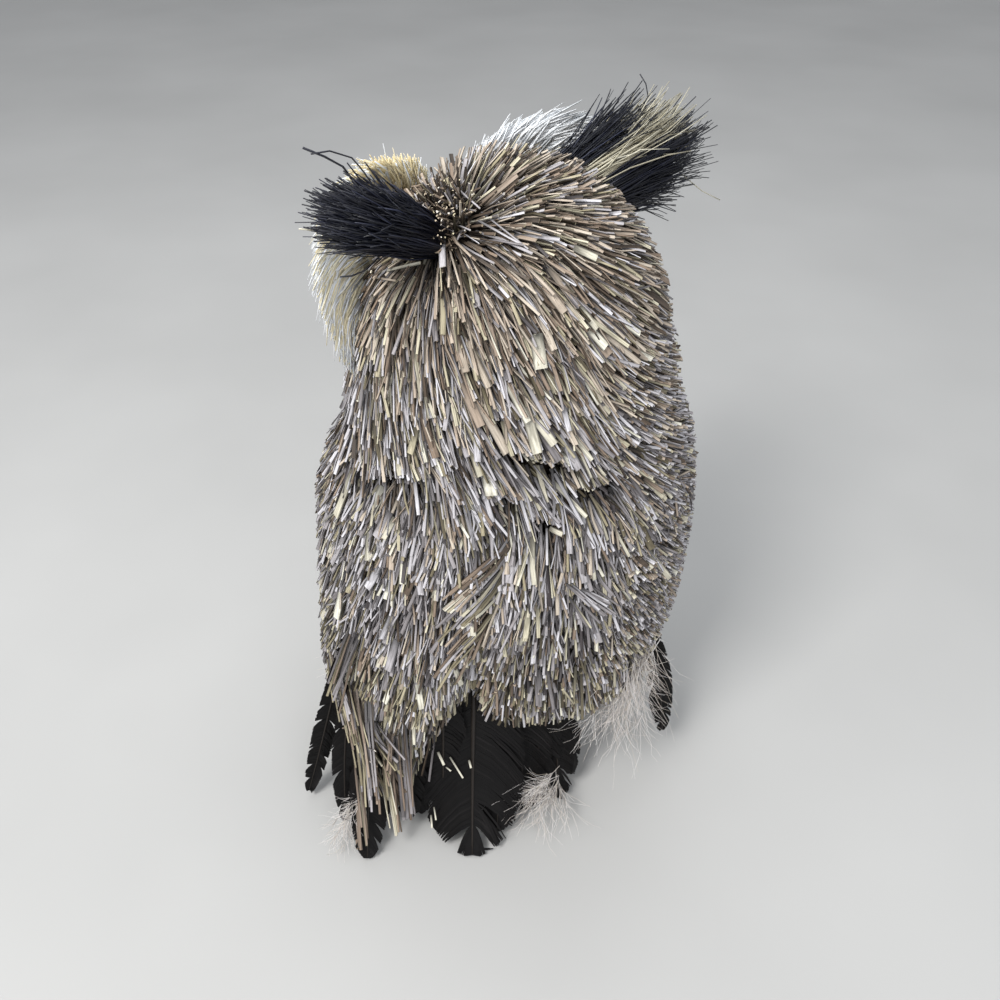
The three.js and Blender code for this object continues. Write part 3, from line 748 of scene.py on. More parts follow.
BROWN, GREY, STRAW, CREAM = range(PALETTES)
STRAW_RAMPS = {
    "brown": [(0, paint(52, 42, 33)), (0.5, paint(160, 141, 124)), (1, paint(222, 210, 194))],
    # The grey strips' own tones run from dark to pale. The lavender tint at the pale end is a painted
    # reflection of cool light.
    "grey": [(0, paint(56, 50, 52)), (0.5, paint(174, 169, 172)), (1, paint(230, 229, 236))],
    "straw": [(0, paint(66, 58, 42)), (0.5, paint(172, 162, 134)), (1, paint(226, 220, 196))],
    "cream": [(0, paint(176, 168, 142)), (0.5, paint(216, 210, 190)), (1, paint(238, 236, 222))],
}
STRAW_ENDS = {
    "brown": paint(176, 162, 140),
    "grey": paint(206, 200, 190),
    "straw": paint(202, 192, 160),
    "cream": paint(218, 210, 188),
}
straw_finishes = [
    bristle_finish(f"straw_{name}", band, ramp, 0.8, STRAW_ENDS[name], 0.55, 0.15, 0.4, edged=True)
    for band, (name, ramp) in enumerate(STRAW_RAMPS.items())
]
# Near-black paints of the root mats, a painted shadow for the dark deep inside the coat.
MAT_SHADOW_PAINTS = [(0.35, paint(16, 12, 10)), (0.7, paint(38, 30, 24))]
shadow_mat_finish = mottled_finish("bristle_roots_painted_shadow", 0.9, 0.1, 900.0, MAT_SHADOW_PAINTS)
print("straw finishes:", ", ".join(material.name for material in straw_finishes))

# %% [markdown]
# The coat of the body. From a whorl beside the left ear the bristles fan out over the crown, then
# turn down the neck and the back, leaning a little outwards on either side. Some rows were cut
# along one line, which leaves a ragged step with a dark gap under it.

# %% Combing of the body
NAPE_LEAN = -0.5
FLANK_LEAN = 0.9
LOW_FAN = 0.28
FAN_RANGE = (10, 37)
LEAN_CHANGE = (112, 138)
ROW_LEAST = 0.45
ROW_JAG = 0.7


def body_aim(points):
    away = points - whorl
    far = np.linalg.norm(away, axis=1, keepdims=True)
    turn = turn_of(points)
    behind = smooth(-0.5, 0.1, np.cos(turn))
    left_lean = NAPE_LEAN * np.sqrt(np.clip(np.cos(turn), 0, 1))
    upper = np.where(turn > 0, left_lean, NAPE_LEAN + FLANK_LEAN * np.minimum(np.sin(turn) + 0.3, 0))
    lean = mix(LOW_FAN * np.sin(turn), upper, smooth(*LEAN_CHANGE, points[:, 2])) * behind
    down = around_body(turn) * lean[:, None] - UP
    return unit(mix(away / np.maximum(far, 1e-6), down, smooth(*FAN_RANGE, far)))


def cut_rows(path, step, share):
    """Shortens a share of the bristles so that their tips fall on common lines around the body."""
    last = path[:, -1]
    turn = turn_of(last)
    wave = 5 * np.sin(turn * 2 + 0.8) + 3 * np.sin(turn * 5 + 2) + 1.5 * np.sin(turn * 11)
    root_level = path[:, 0, 2]
    drop = np.maximum(root_level - last[:, 2], 1e-6)
    line = np.floor((last[:, 2] + wave) / step) * step + step - wave
    keep = (root_level - line + ROW_JAG * rng.normal(size=len(path))) / drop
    chosen = (rng.random(len(path)) < share) & (keep > ROW_LEAST) & (keep < 1)
    return along_path(path, np.where(chosen, keep, 1.0))


def raise_path(stops, faces, sink, rise, bend=1.0):
    """Lifts a combed path off the skin, from a sunk root to a raised tip."""
    share = np.linspace(0, 1, stops.shape[1])[None, :] ** bend
    height = mix(-sink[:, None], rise[:, None], share)
    return stops + faces * height[..., None]


def pick_palette(chances):
    """One palette for each bristle, from rows of chances."""
    edges = np.cumsum(chances / chances.sum(axis=1, keepdims=True), axis=1)
    return np.minimum((rng.random((len(chances), 1)) > edges).sum(axis=1), PALETTES - 1)


def straw_chances(points, width):
    """The crown is browner, the lower fringe more golden, and broad strips are the palest."""
    height = points[:, 2]
    head = smooth(128, 182, height)
    low = smooth(75, 45, height)
    chances = np.empty((len(points), PALETTES))
    chances[:, BROWN] = 0.22 + 0.95 * head
    chances[:, GREY] = 0.75 - 0.40 * head - 0.15 * low
    chances[:, STRAW] = 0.13 + 0.12 * head + 0.4 * low
    chances[:, CREAM] = 0.04 + 0.5 * (width > 1.2)
    return chances


# %% [markdown]
# The strips of the real coat are not one size: most are under a millimetre wide, and a few are
# split leaf, two or three times as wide. One in ten is dark. These functions pick each strip's
# width, palette and tone, and tell how steeply it stands.

# %% Strips of the body
BROAD_SHARE = 0.035
BROAD_WIDTH = (1.3, 2.5)
FINE_WIDTH = (0.28, 1.3)
THICKNESS = (0.2, 0.4)
DARK_SHARE = 0.1
DARK_TONE = 0.15
WING_OVERLAP = 16
# How steeply the bristles stand, in degrees: everywhere, and what is added at three places.
STAND = 6
STAND_AT = {"whorl": 12, "crown": 20, "flank": 38}


def body_weight(points):
    """Fewer bristles where a wing covers the body."""
    hidden = np.zeros(len(points))
    for plan in WINGS.values():
        across, width = wing_across(plan, points)
        below_top = plan["height"][0] - WING_OVERLAP - points[:, 2]
        deep = np.minimum(np.minimum(across, 1 - across) * width, below_top)
        deep = np.minimum(deep, points[:, 2] - plan["height"][-1] - 4)
        hidden = np.maximum(hidden, smooth(2, 8, deep))
    return 1 - hidden


def straw_width(roots):
    """Mostly fine bristle, finest on the head, with a few broad strips of split leaf among it."""
    count = len(roots)
    height = roots[:, 2]
    fine = rng.gamma(5.5, 0.112, count).clip(*FINE_WIDTH) * mix(1, 0.84, smooth(135, 175, height))
    broad = rng.uniform(*BROAD_WIDTH, count)
    return np.where(rng.random(count) < BROAD_SHARE * smooth(192, 178, height), broad, fine)


def straw_batch(path, faces, width, bright=0.5):
    """Dresses combed paths as straw: palette, tone, roll and thickness of each strip."""
    count = len(path)
    palette = pick_palette(straw_chances(path[:, -1], width))
    tone = np.clip(rng.normal(bright, 0.27, count), 0, 0.999)
    tone *= np.where(rng.random(count) < DARK_SHARE, DARK_TONE, 1.0)
    roll = rng.normal(0, 0.5, count)
    thick = np.minimum(width * 0.8, rng.uniform(*THICKNESS, count))
    return bars(path, faces, width, thick, palette, tone, roll)


def head_lift(points):
    """Bristles stand up round the whorl and along the crown, and lie flatter elsewhere."""
    near = np.exp(-(np.linalg.norm(points - whorl, axis=1) / 14) ** 2)
    crown = smooth(186, 200, points[:, 2])
    turn = -np.degrees(turn_of(points))
    flank = smooth(24, 40, turn) * smooth(86, 70, turn) * smooth(122, 132, points[:, 2])
    flank *= smooth(182, 160, points[:, 2])
    return STAND + STAND_AT["whorl"] * near + STAND_AT["crown"] * crown + STAND_AT["flank"] * flank


# %% [markdown]
# The coat is two layers thick. Where the photograph shows a dark break, a row of bristles ends on
# one line and the next row starts a little below it. At the whorl short bristles stand every way.

# %% Layers and breaks
# Bristles of the under layer are short, and drawn dark as painted shade for the shadow that the
# upper layer casts on them. Those of the upper layer lie on top for most of their length, so their
# sunk part is little or nothing. share is the layer's part of the density, length, rise and sink
# are in mm, stray is in radians, and bright is the middle of the strips' tones.
LAYERS = {
    "under": {"share": 0.5, "length": (8, 14), "rise": (0.0, 1.6), "sink": 0.5, "bright": 0.26,
              "stray": 0.2},
    "upper": {"share": 0.5, "length": (10, 19), "rise": (1.3, 3.4), "sink": -1.0, "bright": 0.69,
              "stray": 0.15},
}
ROW_STEP = 19.0
ROW_SHARE = 0.35
CROWN_RISE = 1.5
SINK_MOST = 6.0
WHORL_REACH = 8
WHORL_DENSITY = 2.6
WHORL_BRIGHT = 0.2
# Each break runs between two pixels.
BREAKS = [
    ((358, 463), (421, 469)),
    ((490, 447), (564, 463)),
    ((476, 414), (497, 419)),
    ((478, 487), (508, 499)),
    ((560, 492), (606, 478)),
    ((520, 512), (556, 524)),
]
BREAK_GAP = 0.9
break_ends = np.array([[spot(body_skin, *pixel) for pixel in line] for line in BREAKS])
print("dark breaks:", len(BREAKS))


def cut_breaks(path):
    """Ends bristles on the breaks, and tells which ones are not rooted in a gap below one."""
    stands = np.ones(len(path), bool)
    for start, end in break_ends:
        turns = turn_of(np.stack([start, end]))
        share = (turn_of(path[:, 0]) - turns[0]) / (turns[1] - turns[0])
        line = mix(start[2], end[2], share) + rng.normal(0, 0.7, len(path))
        high, low = path[:, 0, 2], path[:, -1, 2]
        beside = (share > 0) & (share < 1)
        stands &= ~(beside & (high < line) & (high > line - BREAK_GAP))
        crossing = beside & (high > line) & (low < line)
        keep = np.where(crossing, (high - line) / np.maximum(high - low, 1e-6), 1.0)
        path = along_path(path, np.clip(keep, 0.05, 1.0))
    return path, stands


def layer_paths(skin, roots, aim, lift, layer, steps):
    """Combs one layer over a skin. lift is in degrees, and bent bristles have two steps."""
    count = len(roots)
    angle = np.radians(lift)
    length = rng.uniform(*layer["length"], count)
    standing = smooth(183, 197, roots[:, 2]) * smooth(-3, 10, roots[:, 0])
    rise = rng.uniform(*layer["rise"], count) * mix(1, CROWN_RISE, standing)
    stray = rng.normal(0, layer["stray"], count)
    stops, faces = comb(skin, roots, aim, length * np.cos(angle), stray, steps)
    least = rng.uniform(layer["sink"], 0.5, count)
    sink = np.clip(length * np.sin(angle) - rise, least, SINK_MOST)
    path = raise_path(stops, faces, sink, rise)
    if steps > 1:
        path[:, 1] += rng.normal(0, 0.3, (count, 3))
    return path, faces


def coat_batch(density, choose, steps, layer):
    """One layer of the body's coat, with so many bristles to the square millimetre."""
    roots = scatter(body_skin, density * layer["share"], lambda p: body_weight(p) * choose(p))
    lift = head_lift(roots) + rng.normal(0, 4, len(roots))
    path, faces = layer_paths(body_skin, roots, body_aim, lift, layer, steps)
    path = cut_rows(path, ROW_STEP, ROW_SHARE)
    path, stands = cut_breaks(path)
    return straw_batch(path[stands], faces[stands], straw_width(roots[stands]), layer["bright"])


def whorl_batch():
    """Short bristles that stand every way at the whorl, where the others leave a bare spot."""
    def near_whorl(points):
        return (np.linalg.norm(points - whorl, axis=1) < WHORL_REACH).astype(float)

    roots = scatter(body_skin, WHORL_DENSITY, near_whorl)
    wander = unit(rng.normal(size=(len(roots), 3)))
    _, facing = settle(body_skin, roots)
    middle = roots + facing * 1.2 + wander * 2
    tip = roots + facing * 2.2 + wander * 4.5
    path = np.stack([roots - facing, middle, tip], axis=1)
    return straw_batch(path, facing, straw_width(roots) * 0.8, WHORL_BRIGHT)


def split_coat(name, density, choose, nodes, extra=()):
    """One piece of the coat: straight bristles of two rings, and bent ones of three on top."""
    batches = [
        coat_batch(density, choose, 1, LAYERS["under"]),
        coat_batch(density * 0.5, choose, 1, LAYERS["upper"]),
        coat_batch(density * 0.5, choose, 2, LAYERS["upper"]),
    ]
    return make_piece(name, batches + list(extra), straw_finishes, nodes)


# %% [markdown]
# Some single strips catch the eye, because they are broad and pale. Each is laid on top of the
# coat between two pixels of the photograph: its start, its end, its width in mm and its palette.

# %% Single strips of the body
HEAD_STRIPS = [
    ((535, 333), (539, 365), 3.2, CREAM),
    ((525, 405), (536, 447), 2.6, CREAM),
    ((561, 402), (565, 426), 1.4, GREY),
    ((445, 238), (449, 270), 1.8, GREY),
    ((571, 250), (590, 262), 1.8, CREAM),
    ((672, 391), (681, 406), 1.6, CREAM),
    ((455, 188), (483, 216), 0.4, GREY),
    ((483, 216), (527, 253), 0.4, GREY),
    ((480, 224), (521, 249), 0.5, GREY),
    ((367, 267), (382, 275), 0.7, CREAM),
    ((382, 275), (428, 266), 0.7, CREAM),
    ((428, 266), (442, 238), 0.7, CREAM),
    ((422, 262), (440, 238), 0.8, GREY),
    ((380, 279), (405, 283), 0.5, BROWN),
]
BACK_STRIPS = [
    ((488, 466), (493, 488), 3.4, CREAM),
    ((550, 525), (561, 528), 1.6, CREAM),
    ((478, 417), (480, 455), 1.8, GREY),
    ((420, 425), (417, 450), 2.0, STRAW),
    ((506, 534), (508, 570), 2.0, BROWN),
    ((514, 541), (511, 578), 2.3, GREY),
    ((534, 534), (534, 578), 1.5, CREAM),
]
print("single strips:", len(HEAD_STRIPS) + len(BACK_STRIPS))


def sheaf(strips, copies=3):
    """Each strip split into narrow ones side by side, a few pixels apart and of uneven length."""
    split = []
    for (x0, y0), (x1, y1), width, palette in strips:
        for _ in range(copies):
            dx, dy = rng.uniform(-6, 6), rng.uniform(-5, 5)
            end = (x1 + dx * 1.4 + rng.normal(0, 2), y1 + dy + rng.normal(0, 4))
            other = palette if rng.random() < 0.7 else int(rng.integers(0, 3))
            split.append(((x0 + dx, y0 + dy), end, width * rng.uniform(0.4, 0.9), other))
    return split


def laid_batch(strips, lift=3.0, bright=(0.55, 0.9)):
    """Strips that lie on the body between two pixels, lift mm above it at their tips."""
    paths, facings = [], []
    for start, end, _, _ in strips:
        pixels = mix(np.array(start, float), np.array(end, float), np.linspace(0, 1, 4)[:, None])
        where = np.array([spot(body_skin, *pixel) for pixel in pixels])
        _, facing = settle(body_skin, where)
        paths.append(where + facing * np.linspace(lift - 1.5, lift, 4)[:, None])
        facings.append(facing)
    width = np.array([strip[2] for strip in strips])
    palette = np.array([strip[3] for strip in strips])
    tone = rng.uniform(*bright, len(strips))
    thick = np.minimum(width * 0.6, 0.3)
    return bars(np.array(paths), np.array(facings), width, thick, palette, tone)


# %% [markdown]
# The coat of the body is made in three pieces, so that none of them grows too big to handle. The
# densities are bristles to the square millimetre. The chest is hidden, and so it is the thinnest.

# %% The coat, in three pieces
NECK_LINE = 138
HEAD_DENSITY = 0.82
BACK_DENSITY = 0.74
CHEST_DENSITY = 0.38


def on_head(points):
    return (points[:, 2] >= NECK_LINE).astype(float)


def on_back(points):
    return ((points[:, 2] < NECK_LINE) & (np.cos(turn_of(points)) > 0)).astype(float)


def on_chest(points):
    return ((points[:, 2] < NECK_LINE) & (np.cos(turn_of(points)) <= 0)).astype(float)


split_coat("body_thatch_head", HEAD_DENSITY, on_head, ["body"], [laid_batch(HEAD_STRIPS), whorl_batch()])
split_coat("body_thatch_back", BACK_DENSITY, on_back, ["body"], [laid_batch(BACK_STRIPS)])
split_coat("body_thatch_chest", CHEST_DENSITY, on_chest, ["body"])

# %% [markdown]
# Under the coat lies the mat of bristle roots. It is a plain closed egg a little inside the skin,
# painted near-black as the shadow deep in the coat, and it only shows as near-black gaps.

# %% Root mat of the body
MAT_DEPTH = 2.6
MAT_POLE_GAP = 1.5
MAT_ROWS = 60
MAT_COLUMNS = 72
mat_along = np.linspace(MAT_POLE_GAP, OUTLINE_ALONG[-1] - MAT_POLE_GAP, MAT_ROWS)
mat_turn = np.linspace(0, 2 * math.pi, MAT_COLUMNS, endpoint=False)
mesh_turn, mesh_along = np.meshgrid(mat_turn, mat_along)
ripple = 0.5 * np.sin(mesh_turn * 23) * np.sin(mesh_along * 0.9)
mat_net = body_point(mesh_turn, mesh_along, -MAT_DEPTH + ripple)


def closed_net(net):
    """Closes a wrapped net with a fan of triangles over each end: points, quads and triangles."""
    rows, columns = net.shape[:2]
    points = net.reshape(-1, 3)
    ends = np.stack([net[0].mean(axis=0), net[-1].mean(axis=0)])
    points = np.concatenate([points, ends])
    faces = net_faces(rows, columns, True)
    here = np.arange(columns)
    there = (here + 1) % columns
    top = np.stack([np.full(columns, rows * columns), here, there], axis=1)
    low = (rows - 1) * columns
    bottom = np.stack([np.full(columns, rows * columns + 1), low + there, low + here], axis=1)
    return points, faces, np.concatenate([top, bottom])


def closed_batch(net, finish, palette=0, tone=0.5):
    points, quads, triangles = closed_net(net)
    whole = net_batch(points, quads, finish, palette, tone)
    caps = net_batch(points[:0], triangles, finish, palette, tone)
    for key in ("corners", "sizes", "marks", "finish"):
        whole[key] = np.concatenate([whole[key], caps[key]])
    return whole


make_piece("body_root_mat", [closed_batch(mat_net[:, ::-1], 0)], [shadow_mat_finish], ["body"])

# %% [markdown]
# The wings. The left one runs down to a long tip with loose, separate strands. The right one is
# a round lobe whose bristles fan from the shoulder, and on its outer side they were set so steeply
# that only their cut ends show. Both keep to their plan: a bristle is trimmed where it leaves it.

# %% Combing of the wings
RIGHT_FAN_PIXEL = (566, 425)
RIGHT_SPREAD = 1.35
RIGHT_FAN_RISE = 14
RIGHT_LEAST_DROP = 8
LEFT_LEAN = (2, 30)
LEFT_TIP_HEIGHT = 9.0
LEFT_TIP_DROP = 14
TIP_CHANGE = (74, 30)
right_fan = spot(body_skin, *RIGHT_FAN_PIXEL)
print("fan of the right wing at", np.round(right_fan, 1))
LEFT_TIP = wing_point(LEFT_WING, np.array([LEFT_TIP_HEIGHT]), np.array([0.5]), 0.0)[0]


def unrolled(points):
    """Distance around the body, towards +X, of each point, as if the flank were laid flat."""
    return turn_of(points) * np.linalg.norm(points[:, :2] - np.array(AXIS), axis=1)


def right_aim(points):
    around = around_body(turn_of(points))
    beside = unrolled(points) - unrolled(right_fan[None])[0]
    below = right_fan[2] + RIGHT_FAN_RISE - points[:, 2]
    drop = np.maximum(below, RIGHT_LEAST_DROP)
    return unit(around * (beside * RIGHT_SPREAD)[:, None] - UP * drop[:, None])


def left_aim(points):
    across, _ = wing_across(LEFT_WING, points)
    lean = np.radians(mix(*LEFT_LEAN, np.clip(across, 0, 1)))[:, None]
    fanned = around_body(turn_of(points)) * np.sin(lean) - UP * np.cos(lean)
    towards_tip = unit(LEFT_TIP - UP * LEFT_TIP_DROP - points)
    return unit(mix(fanned, towards_tip, smooth(*TIP_CHANGE, points[:, 2])[:, None]))


TRIM_CHECKS = 11


def trim_to_plan(path, plan, jag):
    """Cuts each bristle where it runs past the wing's outline, give or take a jag in mm."""
    keep = np.ones(len(path))
    for share in np.linspace(0, 1, TRIM_CHECKS)[::-1]:
        point = along_path(path, np.full(len(path), max(share, 1e-3)))[:, -1]
        across, width = wing_across(plan, point)
        over_side = np.maximum(-across, across - 1) * width
        over_end = plan["height"][-1] - point[:, 2]
        outside = np.maximum(over_side, over_end) > jag
        keep = np.where(outside, share, keep)
    return along_path(path, np.clip(keep, 0.15, 1)), keep > 0.2


def wing_inside(plan, margin):
    """A weight that is 1 on a wing's plan and up to a margin in mm beyond its sides."""
    def weight(points):
        across, width = wing_across(plan, points)
        side = np.minimum(across, 1 - across) * width
        level = (points[:, 2] < plan["height"][0] + 1) & (points[:, 2] > plan["height"][-1] - 1)
        return ((side > -margin) & level).astype(float)
    return weight


# %% [markdown]
# A wing is planted like the body and trimmed to its plan. Further layers grow only where a weight
# is 1: among the cut ends, along the inner edge, along the hem or on the tip.

# %% Planting of the wings
WING_DENSITY = 0.68
WING_LIFT = 7.0
WING_ROW_STEP = 17.0
WING_ROW_SHARE = 0.25
LOW_LIFT_CHANGE = (90, 66)
WING_MAT_DEPTH = 1.6
WING_MAT_ROWS = 40
WING_MAT_COLUMNS = 30
# Painted shade: the wings' strips are drawn a little darker than the back's, to deepen their gaps.
WING_PAINTED_SHADE = 0.08
STUBBLE_SHARE = 0.85


def wing_batch(name, aim, density, layer, steps, weight, jag=1.2, lift=WING_LIFT, low_lift=0.0):
    """One layer of a wing, planted where the weight is 1 and trimmed to the wing's plan."""
    plan = WINGS[name]
    roots = scatter(wing_skins[name], density * layer["share"], weight)
    angle = lift + low_lift * smooth(*LOW_LIFT_CHANGE, roots[:, 2]) + rng.normal(0, 4, len(roots))
    path, faces = layer_paths(wing_skins[name], roots, aim, angle, layer, steps)
    path, fits = trim_to_plan(path, plan, jag * rng.normal(0.6, 0.6, len(roots)))
    path = cut_rows(path, WING_ROW_STEP, WING_ROW_SHARE)
    path, stands = cut_breaks(path)
    fits &= stands
    return straw_batch(path[fits], faces[fits], straw_width(roots[fits]), layer["bright"] - WING_PAINTED_SHADE)


def wing_coat(name, aim, weight, low_lift=0.0):
    """The two layers of a wing: straight strips, and bent ones on top."""
    upper = WING_DENSITY * 0.5
    return [
        wing_batch(name, aim, WING_DENSITY, LAYERS["under"], 1, weight),
        wing_batch(name, aim, upper, LAYERS["upper"], 1, weight, low_lift=low_lift),
        wing_batch(name, aim, upper, LAYERS["upper"], 2, weight, low_lift=low_lift),
    ]


def wing_mat(plan):
    """The mat under a wing's coat, painted near-black as shadow: a closed shell a little inside its pad."""
    heights = np.linspace(plan["height"][0] - 1, plan["height"][-1] + 3, WING_MAT_ROWS)
    acrosses = np.linspace(0.02, 0.98, WING_MAT_COLUMNS)
    net_across, net_height = np.meshgrid(acrosses, heights)
    outer = wing_point(plan, net_height, net_across, -WING_MAT_DEPTH)
    radius = wing_row(plan, net_height, "radius") - 1.0
    back, front = wing_edges(plan, net_height)
    inner = flank_point(mix(back, front, net_across) * plan["side"], net_height, radius)
    ring = np.concatenate([outer, inner[:, ::-1]], axis=1)
    if plan["side"] > 0:
        ring = ring[:, ::-1]
    return closed_batch(ring, PALETTES)


def stubble(points):
    """1 on the outer side of the right wing, where the cut ends point out at the viewer."""
    turn = -np.degrees(turn_of(points))
    level = smooth(124, 112, points[:, 2]) * smooth(52, 62, points[:, 2])
    return smooth(24, 38, turn) * smooth(88, 74, turn) * level


def right_inner_edge(points):
    """1 along the edge of the right wing that lies over the left one."""
    across, width = wing_across(RIGHT_WING, points)
    beside = across * width
    level = smooth(104, 96, points[:, 2]) * smooth(50, 58, points[:, 2])
    return smooth(-1, 0, beside) * smooth(12, 8, beside) * level


def make_wing(name, batches):
    finishes = [*straw_finishes, shadow_mat_finish]
    return make_piece(f"wing_{name}_thatch", batches, finishes, [f"wing_{name}"])


def right_hem(points):
    """1 along the lower edge of the right wing, where long strips hang as a fringe."""
    return right_inside(points) * smooth(66, 60, points[:, 2]) * smooth(49, 51, points[:, 2])


def hem_aim(points):
    turn = turn_of(points)
    return unit(around_body(turn) * (0.35 * np.sin(turn + 0.3))[:, None] - UP)


right_inside = wing_inside(RIGHT_WING, 0.5)
left_inside = wing_inside(LEFT_WING, 0.5)


def right_flat(points):
    return right_inside(points) * (1 - STUBBLE_SHARE * stubble(points))


def right_stubble(points):
    return right_inside(points) * stubble(points)


def right_border(points):
    return right_inside(points) * right_inner_edge(points)


print("bristles of a wing to the square mm:", WING_DENSITY)

# %% [markdown]
# The bristles that close the right wing lie across the left one, in a sheaf of long brown strips.
# Under the left wing's tip strips hang free, and more hang over the feathers from its front edge.
# These are laid between pixels as well, as start, end, width in mm and palette.

# %% Sheaves and loose strands
RIGHT_STRIPS = [
    ((509, 533), (458, 586), 1.5, BROWN),
    ((511, 536), (462, 588), 1.2, BROWN),
    ((504, 546), (446, 603), 1.2, BROWN),
    ((501, 552), (452, 603), 1.0, BROWN),
    ((502, 559), (455, 608), 1.4, CREAM),
    ((498, 566), (450, 616), 1.0, GREY),
    ((497, 571), (457, 619), 1.2, GREY),
    ((508, 576), (467, 625), 1.5, CREAM),
    ((492, 584), (451, 630), 1.1, BROWN),
    ((500, 590), (458, 640), 1.1, STRAW),
    ((494, 600), (455, 648), 1.0, BROWN),
    ((478, 618), (440, 674), 1.5, BROWN),
    ((482, 622), (446, 668), 1.0, GREY),
    ((489, 622), (478, 651), 1.6, GREY),
    ((489, 649), (494, 704), 1.5, BROWN),
    ((539, 667), (541, 703), 2.0, GREY),
    ((578, 660), (578, 708), 1.2, STRAW),
    ((534, 604), (532, 630), 2.2, STRAW),
    ((565, 580), (584, 600), 0.9, GREY),
    ((569, 582), (592, 603), 1.0, GREY),
    ((573, 581), (599, 599), 0.9, GREY),
    ((576, 584), (602, 605), 1.1, GREY),
    ((583, 586), (606, 601), 0.9, GREY),
    ((571, 591), (589, 611), 1.0, GREY),
    ((638, 477), (650, 496), 1.9, CREAM),
]
LEFT_STRIPS = [
    ((359, 471), (346, 514), 2.7, CREAM),
    ((394, 509), (384, 533), 2.6, GREY),
    ((399, 515), (391, 534), 1.6, CREAM),
    ((384, 564), (375, 582), 2.4, GREY),
    ((356, 520), (342, 560), 1.8, GREY),
    ((400, 636), (394, 664), 2.3, GREY),
    ((358, 653), (355, 678), 2.0, CREAM),
    ((455, 657), (456, 676), 1.6, CREAM),
    ((452, 400), (450, 425), 1.2, GREY),
]
# Start pixel on the wing, end pixel, the end's Y in the air, width and palette.
LEFT_LOOSE = [
    ((366, 712), (404, 808), 46, 1.2, BROWN),
    ((376, 726), (403, 782), 43, 1.2, GREY),
    ((360, 742), (361, 850), 57, 1.0, BROWN),
    ((381, 738), (380, 814), 49, 0.8, BROWN),
    ((388, 748), (396, 836), 53, 0.8, CREAM),
    ((401, 738), (404, 820), 48, 1.5, GREY),
    ((408, 728), (411, 820), 48, 0.8, BROWN),
    ((372, 740), (389, 800), 46, 0.9, STRAW),
    ((392, 736), (385, 792), 45, 0.9, BROWN),
    ((368, 742), (373, 774), 43, 1.1, CREAM),
]
# The same for the front edge of the wing, whose strands hang over the low feathers.
LEFT_EDGE = [
    ((329, 640), (334, 696), 25, 1.0, BROWN),
    ((334, 652), (340, 716), 29, 0.9, GREY),
    ((340, 664), (348, 734), 33, 1.0, GREY),
    ((347, 676), (356, 754), 38, 0.9, BROWN),
    ((354, 688), (363, 770), 42, 0.9, STRAW),
    ((362, 700), (368, 790), 45, 1.0, BROWN),
    ((370, 705), (372, 812), 49, 1.0, GREY),
]


# %% [markdown]
# A loose strand starts on the wing, where a line of sight meets its skin. It ends in the air, on
# another line of sight and at a given Y, because a photograph alone doesn't tell how deep it is.


# %% Strands in the air
def sight_at(column, row, y):
    """The point of a pixel's line of sight that has this Y."""
    line = sight(column, row)
    return np.array(CAMERA_PLACE) + line * (y - CAMERA_PLACE[1]) / line[1]


def loose_batch(skin, strands, lift=2.6):
    """Strands that leave the skin and hang out into the air, each bent a little outwards."""
    paths = []
    for start, end, end_y, _, _ in strands:
        root, facing = settle(skin, spot(skin, *start)[None])
        root = (root + facing * lift)[0]
        tip = sight_at(*end, end_y)
        middle = (root + tip) / 2 + [0, 1.5, 1.0]
        paths.append([root, mix(root, middle, 0.66) + [0, 0.3, 0.3], mix(middle, tip, 0.5), tip])
    width = np.array([strand[3] for strand in strands])
    palette = np.array([strand[4] for strand in strands])
    facing = np.tile([0.0, 1.0, 0.3], (len(strands), 1))
    return bars(np.array(paths), facing, width, np.minimum(width * 0.6, 0.3), palette,
                rng.uniform(0.2, 0.6, len(strands)))


def loose_copies(strands, copies=4):
    """Each loose strand with thinner ones beside it, a few pixels and a few mm apart."""
    split = []
    for (x0, y0), (x1, y1), end_y, width, palette in strands:
        for _ in range(copies):
            dx = rng.uniform(-8, 8)
            start = (x0 + dx, y0 + rng.uniform(-12, 6))
            end = (x1 + dx * 0.9 + rng.normal(0, 2), y1 - rng.triangular(0, 0, 30))
            other = palette if rng.random() < 0.5 else int(rng.integers(0, 3))
            split.append((start, end, end_y + rng.uniform(-2, 2), width * rng.uniform(0.5, 0.9), other))
    return split


def left_front_low(points):
    """1 on the lower front part of the left wing, whose strips hang over the feathers there."""
    across, _ = wing_across(LEFT_WING, points)
    level = smooth(68, 60, points[:, 2]) * smooth(26, 34, points[:, 2])
    return left_inside(points) * smooth(0.4, 0.6, across) * level


def left_low(points):
    """1 on the tip of the left wing, from which the longest strips hang."""
    return left_inside(points) * smooth(58, 50, points[:, 2]) * smooth(20, 26, points[:, 2])


print("strips laid by hand:", len(RIGHT_STRIPS) + len(LEFT_STRIPS) + len(LEFT_LOOSE) + len(LEFT_EDGE))

# %% [markdown]
# Each wing is one piece. Beside the two layers of the coat it has the layers that make it what it
# is: cut ends, sheaf and hem on the right one, long hanging strips on the left one.

# %% The wings, in two pieces
STUBBLE = {"share": 1.0, "length": (5.5, 9), "rise": (0.8, 3.2), "sink": 0.5, "bright": 0.72, "stray": 0.2}
SHEAF = {"share": 1.0, "length": (16, 27), "rise": (2.2, 4.2), "sink": -1.5, "bright": 0.5, "stray": 0.1}
HEM = {"share": 1.0, "length": (11, 16), "rise": (1.4, 3.2), "sink": -0.5, "bright": 0.5, "stray": 0.07}
HANGING = {"share": 1.0, "length": (15, 26), "rise": (1.5, 3.8), "sink": -1.0, "bright": 0.55, "stray": 0.12}
TIP = {"share": 1.0, "length": (18, 34), "rise": (1.0, 3.6), "sink": -1.0, "bright": 0.45, "stray": 0.14}
STUBBLE_LIFT = 64.0
RIGHT_LOW_LIFT = 34.0

